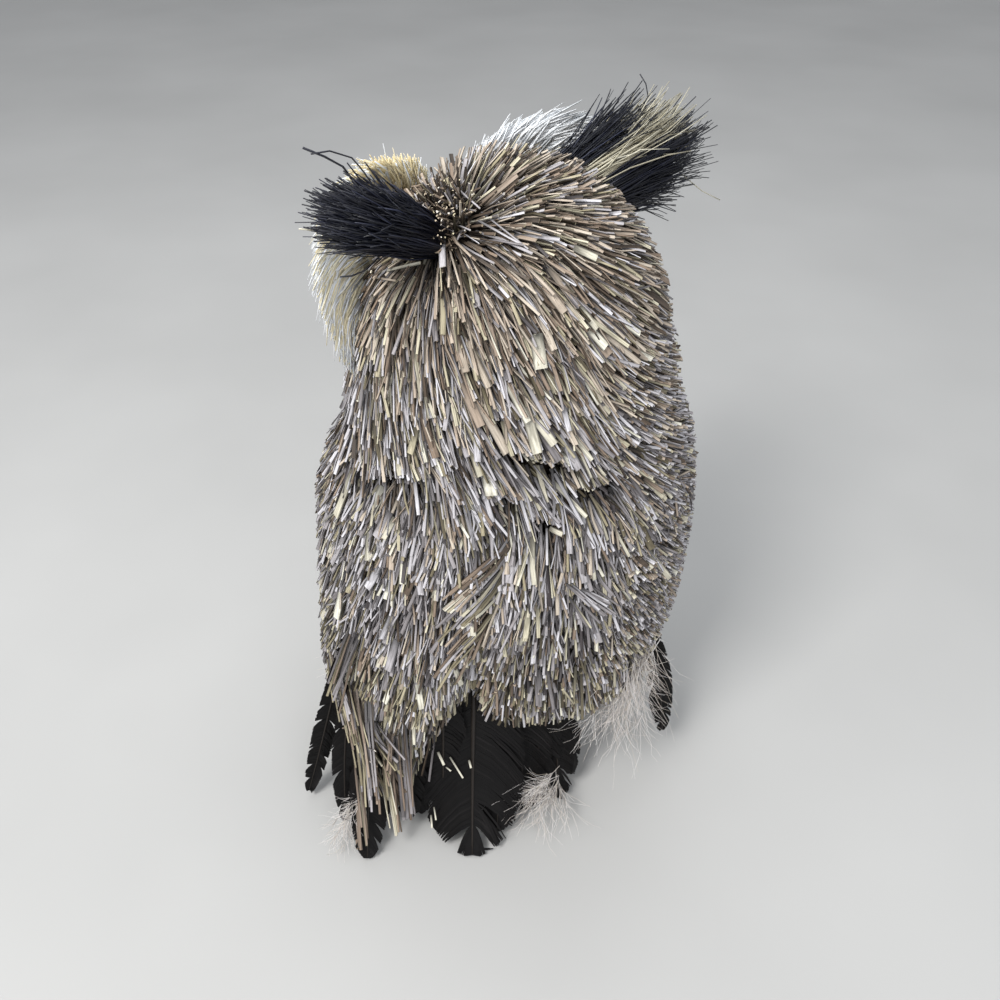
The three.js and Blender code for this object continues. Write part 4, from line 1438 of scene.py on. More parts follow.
make_wing("right", [
    wing_mat(RIGHT_WING),
    *wing_coat("right", right_aim, right_flat, RIGHT_LOW_LIFT),
    wing_batch("right", right_aim, 0.66, STUBBLE, 1, right_stubble, lift=STUBBLE_LIFT),
    wing_batch("right", right_aim, 0.7, SHEAF, 1, right_border, jag=7.0),
    wing_batch("right", hem_aim, 0.5, HEM, 1, right_hem, jag=3.0),
    laid_batch(sheaf(RIGHT_STRIPS), 3.6, (0.2, 0.9)),
])
make_wing("left", [
    wing_mat(LEFT_WING),
    *wing_coat("left", left_aim, left_inside),
    wing_batch("left", left_aim, 0.14, TIP, 2, left_low, jag=9.0),
    wing_batch("left", hem_aim, 0.4, HANGING, 2, left_front_low, jag=12.0),
    laid_batch(LEFT_STRIPS, 3.4),
    loose_batch(wing_skins["left"], LEFT_LOOSE + loose_copies(LEFT_LOOSE, 7)),
    loose_batch(wing_skins["left"], loose_copies(LEFT_EDGE, 10), 1.5),
])

# %% [markdown]
# The head is turned 38 degrees towards the owl's left. These helpers give directions as the face
# sees them.

# %% Directions of the face
HEAD_TURN = math.radians(38)


def face_aim(degrees):
    whole = HEAD_TURN + math.radians(degrees)
    return np.array([math.sin(whole), -math.cos(whole), 0.0])


def face_point(degrees, height, grow):
    turn = math.pi - HEAD_TURN - math.radians(degrees)
    return body_point(np.array(turn), along_at(height), grow)


print("the face looks along", np.round(face_aim(0), 2))

# %% [markdown]
# The ear tufts are flat brushes of thin, stiff bristle, bound at the root and cut ragged. The left
# one is all black. The right one is black with a cream stripe above its middle, and wispier.

# %% Ear bristle finishes
EAR_BLACK_RAMP = [(0, paint(9, 11, 22)), (0.6, paint(20, 23, 38)), (1, paint(54, 58, 80))]
EAR_CREAM_RAMP = [(0, paint(168, 160, 136)), (0.5, paint(212, 206, 184)), (1, paint(238, 236, 224))]
EAR_BLACK_END = paint(40, 42, 52)
EAR_CREAM_END = paint(226, 220, 202)
ear_finishes = [
    bristle_finish("bristle_black", 0, EAR_BLACK_RAMP, 0.3, EAR_BLACK_END, 0.38, 0.8),
    bristle_finish("bristle_ear_cream", 1, EAR_CREAM_RAMP, 0.3, EAR_CREAM_END, 0.45, 0.8),
]
print("ear finishes:", ", ".join(material.name for material in ear_finishes))

# %% [markdown]
# A tuft is set by where it stands on the head, which way it points, how thick it is where it is
# bound and how far it spreads. Its outline is five lengths, from its lower side to its upper one,
# because the brush was cut to a rounded shape. The fibres between are scattered.

# %% Ear tufts
EAR_LENGTH = 41
EAR_SINK = 4.0
STRIPE_AT = 0.38
# turn, sweep and height place a tuft, rise is its slope, and back tells how far its fibres start
# behind the root. count, thin and curl are its fibres' number, widths and bend, all in mm.
EARS = {
    "left": {
        "side": 1, "turn": 97, "height": 190.5, "rise": 0.54, "sweep": 2, "bound": 5.2, "spread": 7.0,
        "back": -5, "lengths": (0.9, 0.97, 0.97, 0.9, 0.7),
        "count": 1250, "stripe": -1.0, "thin": (0.3, 0.55), "curl": 1.1,
    },
    "right": {
        "side": -1, "turn": 90, "height": 193.5, "rise": 0.15, "sweep": -6, "bound": 9.5, "spread": 13.6,
        "back": 13, "lengths": (0.78, 1.16, 1.2, 0.96, 0.58),
        "count": 1300, "stripe": 0.24, "thin": (0.24, 0.46), "curl": 2.0,
    },
}


def ear_batch(ear):
    count = ear["count"]
    root = face_point(ear["side"] * ear["turn"], ear["height"], -EAR_SINK)
    aim = face_aim(ear["side"] * (90 + ear["sweep"]))
    aim[2] = ear["rise"]
    aim = unit(aim)
    wide = UP + 0.25 * face_aim(0)
    wide = unit(wide - aim * (wide @ aim))
    flat = np.cross(aim, wide)
    angle = rng.uniform(0, 2 * math.pi, count)
    reach = np.sqrt(rng.random(count))
    upward = reach * np.cos(angle)
    forward = reach * np.sin(angle)
    profile = np.interp(upward, np.linspace(-1, 1, len(ear["lengths"])), ear["lengths"])
    length = EAR_LENGTH * profile * rng.triangular(0.5, 0.94, 1.08, count)
    start = ear["back"] * (np.maximum(upward, 0) if ear["back"] > 0 else 1)
    shares = np.array([0, 0.4, 0.75, 1.0])
    upward_tip = upward + rng.normal(0, 0.23, count)
    forward_tip = forward + rng.normal(0, 0.35, count)
    paths = np.empty((count, len(shares), 3))
    for k, share in enumerate(shares):
        half = mix(ear["bound"] - 0.6, ear["spread"], share ** 0.85)
        offset_up = mix(upward, upward_tip, share ** 2) * half
        offset_forward = mix(forward, forward_tip, share ** 2) * half * mix(0.8, 0.5, share)
        out = aim * mix(-start, length, share)[:, None]
        paths[:, k] = root + out + wide * offset_up[:, None] + flat * offset_forward[:, None]
    bend = rng.normal(0, ear["curl"], count)[:, None] * shares[None, :] ** 2.5
    paths += bend[..., None] * wide
    paths[:, 1:3] += rng.normal(0, 0.5, (count, 2, 3))
    palette = (np.abs(upward - STRIPE_AT) < ear["stripe"]).astype(int)
    tone = np.clip(rng.beta(1.6, 2.6, count), 0, 0.999)
    width = rng.uniform(*ear["thin"], count)
    facing = unit(rng.normal(size=(count, 3)))
    taper = [1, 1, 0.9, 0.6]
    return bars(paths, facing, width, width * 0.8, palette, tone, sides=3, taper=taper, round_off=True)


# %% [markdown]
# A few single fibres stick out of the tufts far enough to be seen against the background. Each
# follows a row of pixels, and its Y runs evenly from the root's to the tip's.

# %% Single fibres of the ear tufts
# Pixels from root to tip, the Y of root and of tip, width and palette.
FIBRES = {
    "left": [
        (((362, 192), (343, 167), (325, 157), (303, 148)), 17, 30, 0.5, 0),
        (((376, 190), (363, 171), (352, 158), (330, 151), (311, 154)), 13, 29, 0.35, 0),
        (((336, 224), (318, 232), (308, 230), (299, 229)), 24, 30, 0.35, 1),
        (((380, 256), (366, 270), (352, 276), (340, 277)), 16, 24, 0.4, 0),
    ],
    "right": [
        (((650, 160), (672, 166), (702, 191), (720, 200)), -43, -50, 0.3, 1),
        (((640, 112), (648, 96), (646, 84), (640, 74)), -42, -43, 0.3, 0),
    ],
}
FIBRE_FACING = np.array([[0.0, 1.0, 0.3]])
FIBRE_TONE = np.array([0.6])


def fibre_batches(fibres):
    batches = []
    for pixels, root_y, tip_y, width, palette in fibres:
        depths = np.linspace(root_y, tip_y, len(pixels))
        stops = np.array([[sight_at(*pixel, y) for pixel, y in zip(pixels, depths)]])
        widths = np.array([width])
        batches.append(bars(stops, FIBRE_FACING, widths, widths * 0.8, np.array([palette]),
                            FIBRE_TONE, sides=3, round_off=True))
    return batches


for name, ear in EARS.items():
    make_piece(f"ear_tuft_{name}_bristles", [ear_batch(ear), *fibre_batches(FIBRES[name])],
               ear_finishes, [f"ear_tuft_{name}"])

# %% [markdown]
# The face is two dishes of cream bristle, one round each eye. The bristles run outwards from the
# eye, yellower inside and nearly white at the long tips. The rim of the left one and the brow of
# the right one are all that the back view shows.

# %% Face discs
DISC_CREAM_RAMP = [(0, paint(220, 202, 154)), (0.5, paint(238, 226, 190)), (1, paint(248, 242, 218))]
DISC_WHITE_RAMP = [(0, paint(222, 226, 228)), (0.5, paint(236, 241, 246)), (1, paint(250, 252, 255))]
DISC_CREAM_END = paint(244, 238, 216)
DISC_WHITE_END = paint(250, 252, 255)
# The bed is cream like its bristles, and painted paler still for the light that shines through them.
BED_PAINTED_LIGHT = [(0.35, paint(228, 216, 180)), (0.7, paint(246, 238, 214))]
disc_finishes = [
    bristle_finish("bristle_cream", 0, DISC_CREAM_RAMP, 0.15, DISC_CREAM_END, 0.5, 0.85),
    bristle_finish("bristle_white", 1, DISC_WHITE_RAMP, 0.12, DISC_WHITE_END, 0.45, 0.9),
    mottled_finish("bristle_bed", 0.85, 0.2, 700.0, BED_PAINTED_LIGHT),
]
# Places in that list of finishes.
DISC_CREAM = 0
DISC_BED = 2
EYE_HEIGHT = 173
EYE_SPREAD = 27
EYE_RADIUS = 7
EYE_BULGE = 4.4
EYE_SEAT = 2.2
DISC_SPLAY = 13
DISC_DROOP = 170
DISC_SWEEP = 0.26
DISC_REACH = 23
DISC_LEAN = 11.5
BED_COLUMNS = 48
# The rings of a disc's bed, from its back round to its front: share of the reach, and lift in mm.
BED_RINGS = [(0, -5), (0, 0.4), (0.4, 1.4), (0.66, 0.4), (0.62, -1.2), (0.35, -2.4)]
FRONT_BRISTLES = 1400
BACK_BRISTLES = 2500
# For each disc: its side, the angle of its brow in degrees, how far that rises in mm, and the
# share of white bristle at its rim.
DISCS = {
    "left": {"side": 1, "brow_angle": 100, "brow_rise": 6, "white": 0.85},
    "right": {"side": -1, "brow_angle": 74, "brow_rise": 8, "white": 1.0},
}
print("bristles of a disc:", FRONT_BRISTLES + BACK_BRISTLES)

# %% [markdown]
# A disc is a shallow dish. Its front bristles start round the eye, and those behind the rim lie
# lower, point further out and are broader. Both sweep round a little, as if combed.


# %% Bristles of the face discs
def disc_reach(angle, disc):
    """How far the disc reaches from the eye at an angle, wider towards the ear tuft."""
    towards_ear = np.maximum(0, np.cos(angle - math.radians(disc["brow_angle"])))
    lobes = 2.5 * np.cos(4 * (angle - math.radians(48)))
    return DISC_REACH + DISC_LEAN * np.cos(angle) + lobes + disc["brow_rise"] * towards_ear ** 3


def eye_seat(side):
    at = face_point(side * EYE_SPREAD, EYE_HEIGHT, TIER_LIFT)
    return at, face_aim(side * DISC_SPLAY), face_aim(side * (90 + DISC_SPLAY))


def disc_batch(disc, count, behind=False):
    """Bristles that run out from the eye, in front of the dish or behind its rim."""
    side = disc["side"]
    at, outward, away = eye_seat(side)
    angle = rng.uniform(-math.pi, math.pi, count)
    rim = disc_reach(angle, disc)
    inner = rim * 0.4 if behind else EYE_RADIUS + 0.5
    start = mix(inner, rim * 0.8, rng.random(count) ** 1.1)
    length = rng.uniform(10, 18, count) if behind else rng.uniform(8, 15, count)
    end = np.minimum(start + length, rim * rng.uniform(0.93, 1.08, count))
    upper = smooth(0.5, 1.2, angle) * smooth(2.6, 2.0, angle) * (side > 0)
    stray = rng.normal(0, 0.09, count)
    layer = rng.uniform(0, 1, count)
    stops = 3 if behind else 4
    path = np.empty((count, stops, 3))
    for k, share in enumerate(np.linspace(0, 1, stops)):
        far = mix(start, end, share)
        turned = angle + stray * share - DISC_SWEEP * share ** 1.5
        dish = 3.2 * np.sin(np.clip(far / rim, 0, 1) * math.pi) - far * far / DISC_DROOP
        lift = dish + mix(-2.0, 1.4 + layer, share) - 1.6 * np.clip(far / rim, 0, 1) ** 3
        if behind:
            lift = -far * far / DISC_DROOP - layer - mix(5.6, 2.4, far / rim)
        place = at + away * (far * np.cos(turned))[:, None] + UP * (far * np.sin(turned))[:, None]
        path[:, k] = place + outward * lift[:, None]
    outer = smooth(0.45, 0.95, end / rim)
    pale = disc["white"] * outer * (1 - 0.6 * upper) * (0.6 if behind and side > 0 else 1)
    palette = (rng.random(count) < pale).astype(int)
    tone = np.clip(rng.normal(0.4 + 0.4 * outer - 0.5 * upper, 0.2), 0, 0.999)
    width = rng.uniform(0.5, 0.9, count) if behind else rng.uniform(0.28, 0.55, count)
    facing = np.repeat(outward[None], count, axis=0)
    roll = rng.normal(0, 0.5, count)
    return bars(path, facing, width, width * 0.7, palette, tone, roll, sides=3,
                taper=np.interp(np.linspace(0, 1, stops), [0, 0.4, 1], [1, 1, 0.45]), round_off=True)


def disc_mat(disc):
    """The bed that the disc's bristles are set in, a shallow closed dish, pale with painted light."""
    at, outward, away = eye_seat(disc["side"])
    angle = np.linspace(0, 2 * math.pi, BED_COLUMNS, endpoint=False)
    rings = []
    for share, lift in BED_RINGS:
        far = mix(EYE_RADIUS + 0.3, disc_reach(angle, disc), share)
        place = at + away * (far * np.cos(angle))[:, None] + UP * (far * np.sin(angle))[:, None]
        rings.append(place + outward * (lift - far * far / DISC_DROOP)[:, None])
    rings.append(rings[0])
    points = np.stack(rings).reshape(-1, 3)
    faces = net_faces(len(rings), len(angle), True)
    if disc["side"] < 0:
        faces = faces[:, ::-1]
    return net_batch(points, faces, DISC_BED, DISC_CREAM, 0.4)


for name, disc in DISCS.items():
    layers = [
        disc_batch(disc, FRONT_BRISTLES),
        disc_batch(disc, BACK_BRISTLES, behind=True),
        disc_mat(disc),
    ]
    make_piece(f"face_disc_{name}_bristles", layers, disc_finishes, [f"face_disc_{name}"])

# %% [markdown]
# The eyes are domes of glass. The colour is laid out by distance from the middle: a black pupil,
# an amber ring that darkens outwards, and a dark rim. The map OFBake holds that distance in u.

# %% Eyes
eye_finish, tree, shader = new_finish("eye_glass", 0.06, 0.7)
shader.inputs["Coat Weight"].default_value = 1.0
shader.inputs["Coat Roughness"].default_value = 0.03
IRIS_RAMP = [
    (0.0, paint(8, 6, 5)),
    (0.44, paint(10, 7, 5)),
    (0.50, paint(236, 168, 36)),
    (0.78, paint(200, 112, 14)),
    (0.90, paint(60, 26, 8)),
    (0.96, paint(10, 8, 8)),
]
FLECK_RAMP = [(0.35, (0.62, 0.55, 0.5)), (0.65, WHITE)]
uv, from_middle, _ = bake_uv(tree)
iris = ramp_node(tree, IRIS_RAMP, from_middle)
fleck = noise_node(tree, uv, 26.0)
flecked = multiply_node(tree, 0.6, iris, ramp_node(tree, FLECK_RAMP, fleck.outputs["Fac"]))
tree.links.new(flecked.outputs["Color"], shader.inputs["Base Color"])

EYE_COLUMNS = 48
EYE_ROWS = 15


def round_turns(sides):
    return np.arange(sides) / sides * 2 * math.pi


def eye_batch(side):
    """A dome with a seat that sinks into the disc. u is the distance from its middle."""
    at, outward, away = eye_seat(side)
    bow = np.linspace(0, math.pi / 2, EYE_ROWS + 1)[:-1]
    reach = np.concatenate([[0.02, EYE_RADIUS], EYE_RADIUS * np.cos(bow), [0.02]])
    lift = np.concatenate([[-EYE_SEAT, -EYE_SEAT], 1 + EYE_BULGE * np.sin(bow), [1 + EYE_BULGE]])
    angle = round_turns(EYE_COLUMNS)
    ring = away * np.cos(angle)[:, None] + UP * np.sin(angle)[:, None]
    net = at + ring[None] * reach[:, None, None] + outward * lift[:, None, None]
    rows = len(reach)
    faces = net_faces(rows, EYE_COLUMNS, True)
    batch = net_batch(net.reshape(-1, 3), faces, 0, 0, 0.0)
    row, column = np.divmod(np.arange(len(faces)), EYE_COLUMNS)
    u = reach / EYE_RADIUS
    marks = [(u[row], column), (u[row + 1], column), (u[row + 1], column + 1), (u[row], column + 1)]
    batch["marks"] = np.stack([np.stack([m, c / EYE_COLUMNS], 1) for m, c in marks], 1).reshape(-1, 2)
    if side > 0:
        batch["corners"] = faces[:, ::-1].ravel()
        batch["marks"] = batch["marks"].reshape(-1, 4, 2)[:, ::-1].reshape(-1, 2)
    return batch


for name, disc in DISCS.items():
    make_piece(f"eye_{name}_glass", [eye_batch(disc["side"])], [eye_finish], [f"eye_{name}"])

# %% [markdown]
# The beak is a small hooked horn between the discs. It is lofted from rounded sections along a
# curve, with a raised ridge along the top.

# %% Beak
horn_finish, tree, shader = new_finish("dark_horn", 0.32, 0.5)
place = tree.nodes.new("ShaderNodeTexCoord")
layered = stretched(tree, place.outputs["Object"], (1.0, 1.0, 0.35))
horn_noise = noise_node(tree, layered, 420.0, 5.0).outputs["Fac"]
HORN_RAMP = [(0.35, paint(24, 20, 18)), (0.55, paint(44, 37, 31)), (0.75, paint(74, 62, 50))]
GLOSS_RAMP = [(0.3, (0.26,) * 3), (0.7, (0.5,) * 3)]
horn_tone = ramp_node(tree, HORN_RAMP, horn_noise)
tree.links.new(horn_tone.outputs["Color"], shader.inputs["Base Color"])
horn_gloss = ramp_node(tree, GLOSS_RAMP, horn_noise)
tree.links.new(horn_gloss.outputs["Color"], shader.inputs["Roughness"])
bump_node(tree, shader, horn_noise, 0.3, 0.0003)

BEAK_LENGTH = 17
BEAK_HALF = 4.4
BEAK_HEIGHT = EYE_HEIGHT - 1
BEAK_ROWS = 26
BEAK_COLUMNS = 32


def beak_batch():
    root = face_point(0, BEAK_HEIGHT, TIER_LIFT)
    outward, sideways = face_aim(0), face_aim(90)
    t = np.linspace(0, 0.985, BEAK_ROWS)[:, None]
    turn = round_turns(BEAK_COLUMNS)[None, :]
    middle_out = 9 * np.sin(t * math.radians(130)) - 3
    half = BEAK_HALF * np.sqrt(1 - t * t * 0.95) * mix(1, 0.35, smooth(0.6, 1.0, t))
    ridge = 1 + 0.12 * np.maximum(0, np.sin(turn)) ** 12
    out = middle_out + half * 1.1 * np.sin(turn) * ridge
    wide = half * np.cos(turn)
    drop = 3 - BEAK_LENGTH * t + np.zeros_like(turn)
    net = root + sideways * wide[..., None] + outward * out[..., None] + UP * drop[..., None]
    return closed_batch(net[:, ::-1], 0)


make_piece("beak_horn", [beak_batch()], [horn_finish], ["beak"])

# %% [markdown]
# The feet have three toes in front and one behind, each with a claw, on a scaly shank. The toes
# are drawn as rings that swell at the joints. A voxel remesh melts them into one skin, and the
# soles are flattened where they stand.

# %% Feet
# Where each foot's ankle stands, and its side.
FOOT_PLACES = {"left": ((13.6, -21.5), 1), "right": ((-26.4, -21.5), -1)}
TOE_LENGTH = 25
TOE_SPREAD = 32
TOE_TURN = 8
BACK_TOE_SHARE = 0.7
SHANK_HEIGHT = 29.0
SHANK_SIDES = 22
RINGS_ALONG = 60
FOOT_VOXEL = 0.6


def tube_net(middles, halves, tall, sides=18):
    """Rings round a path that runs mostly level. tall is the section's height over its width."""
    course = unit(np.gradient(middles, axis=0))
    side = unit(np.cross(course, UP + 0 * course))
    top = np.cross(side, course)
    turn = round_turns(sides)[None, :, None]
    ring = side[:, None] * np.cos(turn) + top[:, None] * (tall * np.sin(turn))
    return middles[:, None] + ring * halves[:, None, None]


def toe_net(ankle, turn, length):
    """One toe with its claw, from behind the ankle to the claw's tip."""
    aim = np.array([math.sin(turn), -math.cos(turn), 0.0])
    t = np.linspace(-0.08, 1, RINGS_ALONG)
    knuckles = 0.32 * np.cos(t * 2 * math.pi * 3.2) * smooth(0.74, 0.6, t)
    toe_half = mix(3.3, 2.5, np.clip(t / 0.74, 0, 1)) + knuckles
    claw_half = 1.7 * np.sqrt(np.clip((1.0 - t) / 0.26, 0.004, 1))
    half = mix(toe_half, claw_half, smooth(0.68, 0.78, t)) * np.sqrt(np.clip((t + 0.085) / 0.06, 0.02, 1))
    level = mix(2.5, 2.9, smooth(0.66, 0.82, t)) - 2.5 * smooth(0.82, 1.0, t) ** 1.5
    middles = np.array([*ankle, 0.0]) + aim * (t * length)[:, None] + UP * level[:, None]
    return tube_net(middles, half, 0.86)


def shank_net(ankle, top):
    """The scaly shank, from the sole up into the body."""
    t = np.linspace(0, 1, RINGS_ALONG)
    scales = 0.16 * np.abs(np.sin(t * math.pi * 9))
    half = mix(4.1, 3.2, t ** 0.6) + scales
    half *= np.sqrt(np.clip(np.minimum(t, 1 - t) / 0.03, 0.02, 1))
    middles = np.array([*ankle, 0.8]) + UP * (t * top)[:, None]
    turn = round_turns(SHANK_SIDES)
    ring = np.stack([np.cos(turn), np.sin(turn), 0 * turn], axis=1)
    return middles[:, None] + ring[None] * half[:, None, None]


# %% [markdown]
# The shank and the four toes of a foot are laid into each other as closed tubes. The remesh makes
# one skin of them, which is smoothed a little and then stands for the foot.


# %% From toes to feet
def foot_piece(name, ankle, side):
    nets = [shank_net(ankle, SHANK_HEIGHT)[:, ::-1]]
    for spread in (-TOE_SPREAD, 0, TOE_SPREAD):
        nets.append(toe_net(ankle, math.radians(side * TOE_TURN + spread), TOE_LENGTH))
    nets.append(toe_net(ankle, math.radians(180 + side * TOE_TURN), TOE_LENGTH * BACK_TOE_SHARE))
    points, faces = [], []
    for net in nets:
        net_points, quads, triangles = closed_net(net)
        start = len(points)
        points += (net_points * MM).tolist()
        faces += [[start + corner for corner in face] for face in [*quads.tolist(), *triangles.tolist()]]
    rough = bpy.data.meshes.new("foot_rough")
    rough.from_pydata(points, [], faces)
    maker = add_object("foot_rough", rough)
    melt = maker.modifiers.new("melt", "REMESH")
    melt.mode = "VOXEL"
    melt.voxel_size = FOOT_VOXEL * MM
    ease = maker.modifiers.new("ease", "SMOOTH")
    ease.factor = 0.5
    ease.iterations = 3
    bpy.context.view_layer.update()
    melted = bpy.data.meshes.new_from_object(maker.evaluated_get(bpy.context.evaluated_depsgraph_get()))
    bpy.data.objects.remove(maker)
    for vertex in melted.vertices:
        vertex.co.z = max(vertex.co.z, 0.0)
    for face in melted.polygons:
        face.use_smooth = True
    melted.name = f"foot_{name}_skin"
    melted.materials.clear()
    melted.materials.append(horn_finish)
    piece = add_object(f"foot_{name}_skin", melted)
    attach(piece, "root")
    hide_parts(f"foot_{name}")
    print(piece.name, "faces:", len(melted.polygons))


for name, (ankle, side) in FOOT_PLACES.items():
    foot_piece(name, ankle, side)

# %% [markdown]
# Real feathers are pushed in under the wings and make the tail. A feather is a shaft with barbs
# that lean towards its tip. The barbs cling to each other in groups, and where two groups have
# come apart the vane is split.

# %% Feather finish
BLACK_RAMP = [(0, paint(6, 5, 6)), (0.6, paint(15, 13, 13)), (1, paint(34, 31, 32))]
SHAFT_RAMP = [(0, paint(20, 17, 15)), (1, paint(46, 38, 32))]
BLACK_END = paint(30, 27, 26)
SHAFT_END = paint(40, 34, 30)
feather_finishes = [
    bristle_finish("feather_black", 0, BLACK_RAMP, 0.35, BLACK_END, 0.5, 0.6, 0.16),
    bristle_finish("feather_shaft", 1, SHAFT_RAMP, 0.3, SHAFT_END, 0.4, 0.6, 0.3),
]
print("feather finishes:", ", ".join(material.name for material in feather_finishes))

# %% [markdown]
# Each feather is a curve from its root over a bend to its tip, with a half width that swells and
# then rounds off. Its barbs are single strips, so that the vane can split as a real one does.

# %% Named feathers
VANE_CAMBER = 0.16
VANE_BLUNT = 5
BARB_SPACING = 0.42
BARB_THICKNESS = 0.16
SPLIT_CHANCE = 0.18
# Each feather's root, bend and tip, and half of its width.
FEATHERS = {
    "tail_feather_middle": ((5, 22.7, 58), (6, 35.7, 26), (6, 56.7, 0.9), 17.5),
    "tail_feather_left": ((11, 28.7, 66), (21, 29.7, 44), (27, 42.7, 12), 8),
    "tail_feather_right": ((-8, 19.7, 55), (-10, 26.7, 26), (-11, 40.7, 2), 11),
    "tail_feather_outer": ((-20, 17.7, 54), (-22, 21.7, 26), (-23, 35.7, 1.5), 8),
    "wing_feather_sickle": ((46, 16.7, 62), (54, 25.7, 30), (63, 32.7, 1.6), 4),
    "wing_feather_narrow": ((43, 23.7, 54), (49, 33.7, 30), (48, 45.7, 4), 4.5),
    "wing_feather_low": ((35, 28.7, 48), (40, 38.7, 24), (40, 57.7, 0.9), 7),
    "wing_feather_right": ((-53, 7.7, 56), (-58, 9.7, 36), (-60, 15.7, 13), 4.5),
}


def vane_frame(feather, t):
    """The middle of the vane at t, the direction across it and the way that it faces."""
    root, bend, tip = (np.array(point, float) for point in feather[:3])
    t = t[..., None]
    middle = (1 - t) ** 2 * root + 2 * t * (1 - t) * bend + t ** 2 * tip
    course = unit((1 - t) * (bend - root) + t * (tip - bend))
    sideways = np.array([1.0, 0.0, 0.0])
    wide = unit(sideways - course * (course @ sideways)[..., None])
    return middle, wide, np.cross(wide, course)


def vane_half(feather, t):
    swell = np.sin(mix(0.2, 1, np.minimum(1, t * 1.6)) * math.pi / 2)
    return feather[3] * swell * np.sqrt(np.clip(1 - t ** VANE_BLUNT, 0, 1))


def barb_batch(feather, side, length, spacing):
    """The barbs of one side of a feather, clinging together in groups of uneven size."""
    count = int(length / spacing)
    start = np.linspace(0.06, 0.985, count)
    run = 1.25 * vane_half(feather, start) / length
    end = 1 - (1 - start) * np.exp(-run / (1 - start))
    group = np.cumsum(rng.random(count) < SPLIT_CHANCE * spacing)
    group -= group[0]
    pull = rng.normal(0, 0.016, group[-1] + 1)[group]
    lean = rng.normal(0, 0.7, group[-1] + 1)[group]
    middle_of_group = np.array([end[group == g].mean() for g in range(group[-1] + 1)])[group]
    end = np.clip(mix(end, middle_of_group, 0.2) + pull, start, 0.995)
    reach = vane_half(feather, end) * rng.normal(0.99, 0.025, count).clip(0.8, 1.03)
    shares = np.array([0, 0.3, 0.65, 1.0])
    t = mix(start[:, None], end[:, None], shares[None] ** 1.25)
    offset = reach[:, None] * shares[None] ** 0.85
    middle, wide, face = vane_frame(feather, t)
    half = np.maximum(vane_half(feather, t), 1.0)
    lift = -VANE_CAMBER * offset ** 2 / half + lean[:, None] * shares[None] ** 2
    lift += rng.normal(0, 0.05, (count, 1))
    path = middle + wide * (side * offset)[..., None] + face * lift[..., None]
    width = rng.uniform(1.3, 1.9, count) * spacing
    tone = np.clip(rng.beta(1.5, 3.0, count), 0, 0.999)
    palette = np.zeros(count, int)
    thick = np.full(count, BARB_THICKNESS)
    return bars(path, face, width, thick, palette, tone, taper=[0.9, 1, 0.9, 0.4])


def feather_batches(feather, spacing=BARB_SPACING):
    t = np.linspace(0, 0.985, 14)
    middle, _, face = vane_frame(feather, t)
    length = np.linalg.norm(np.diff(middle, axis=0), axis=1).sum()
    shaft_width = np.array([0.06 * feather[3] + 0.65])
    shaft = bars((middle + face * 0.1)[None], face[None], shaft_width, shaft_width * 0.9, np.array([1]),
                 np.array([0.4]), taper=np.linspace(1, 0.25, len(t)), round_off=True)
    return [shaft, barb_batch(feather, 1, length, spacing), barb_batch(feather, -1, length, spacing)]


for name, feather in FEATHERS.items():
    make_piece(f"{name}_vane", feather_batches(feather), feather_finishes, [name])

# %% [markdown]
# More feathers fill the tail behind those eight. They are ragged and lie in each other's shade, so
# their barbs are set wider, and they make one piece.

# %% Filling feathers
FILLING_FEATHERS = [
    ((12, 27, 60), (20, 32, 34), (24, 44, 6), 7),
    ((15, 28, 60), (15, 35, 30), (16, 49, 3), 8),
    ((-2, 21, 58), (-3, 31, 28), (-2, 49, 3), 9),
    ((-15, 18, 56), (-16, 24, 28), (-16, 38, 3), 8),
    ((-22, 16, 54), (-25, 20, 30), (-27, 30, 8), 5),
    ((18, 28, 58), (26.5, 38, 30), (27, 46, 6), 6),
    ((38, 27, 50), (45, 35, 26), (46, 45, 5), 4),
    ((36, 28, 50), (38, 37, 26), (35, 47, 8), 5),
]
FILLING_SPACING = 0.75
filling = [batch for feather in FILLING_FEATHERS for batch in feather_batches(feather, FILLING_SPACING)]
make_piece("tail_feathers_filling", filling, feather_finishes, [])

# %% [markdown]
# A few cut ends of bristle have fallen on the tail and stuck there. Each lies between two pixels,
# on the nearest feather that their lines of sight meet.

# %% Cut ends on the tail
# Start pixel, end pixel and width in mm.
FALLEN_ENDS = [
    ((438, 752), (444, 765), 0.9),
    ((450, 757), (463, 778), 0.6),
    ((469, 760), (471, 768), 0.7),
    ((446, 767), (451, 771), 0.5),
    ((431, 815), (432, 828), 0.6),
    ((434, 807), (436, 820), 0.5),
]


def fallen_batches():
    for start, end, width in FALLEN_ENDS:
        ends = []
        for pixel in (start, end):
            line = Vector(sight(*pixel))
            hits = [tree.ray_cast(Vector(CAMERA_PLACE), line) for tree in tail_trees]
            near = min((hit for hit in hits if hit[0] is not None), key=lambda hit: hit[3])
            ends.append(np.array(near[0]) - np.array(line) * 1.0)
        stops = np.array([[ends[0], (ends[0] + ends[1]) / 2, ends[1]]])
        yield bars(stops, np.array([[0.0, 1.0, 0.5]]), np.array([width]), np.array([0.25]),
                   np.array([CREAM]), np.array([0.8]))


def vane_tree(feather):
    """A flat stand-in for a vane, which lines of sight can be tried against."""
    t = np.linspace(0, 1, 20)
    middle, wide, _ = vane_frame(feather, t)
    across = wide * feather[3]
    net = np.stack([middle - across, middle + across], axis=1)
    return make_skin(net, False)["tree"]


tail_trees = [vane_tree(feather) for feather in FEATHERS.values()]
make_piece("tail_straw_ends", list(fallen_batches()), straw_finishes, [])

# %% [markdown]
# Tufts of down hang out under the thatch. Down has no flat vane: each plume is a soft thread with
# long fine barbs that curl away from it on every side.

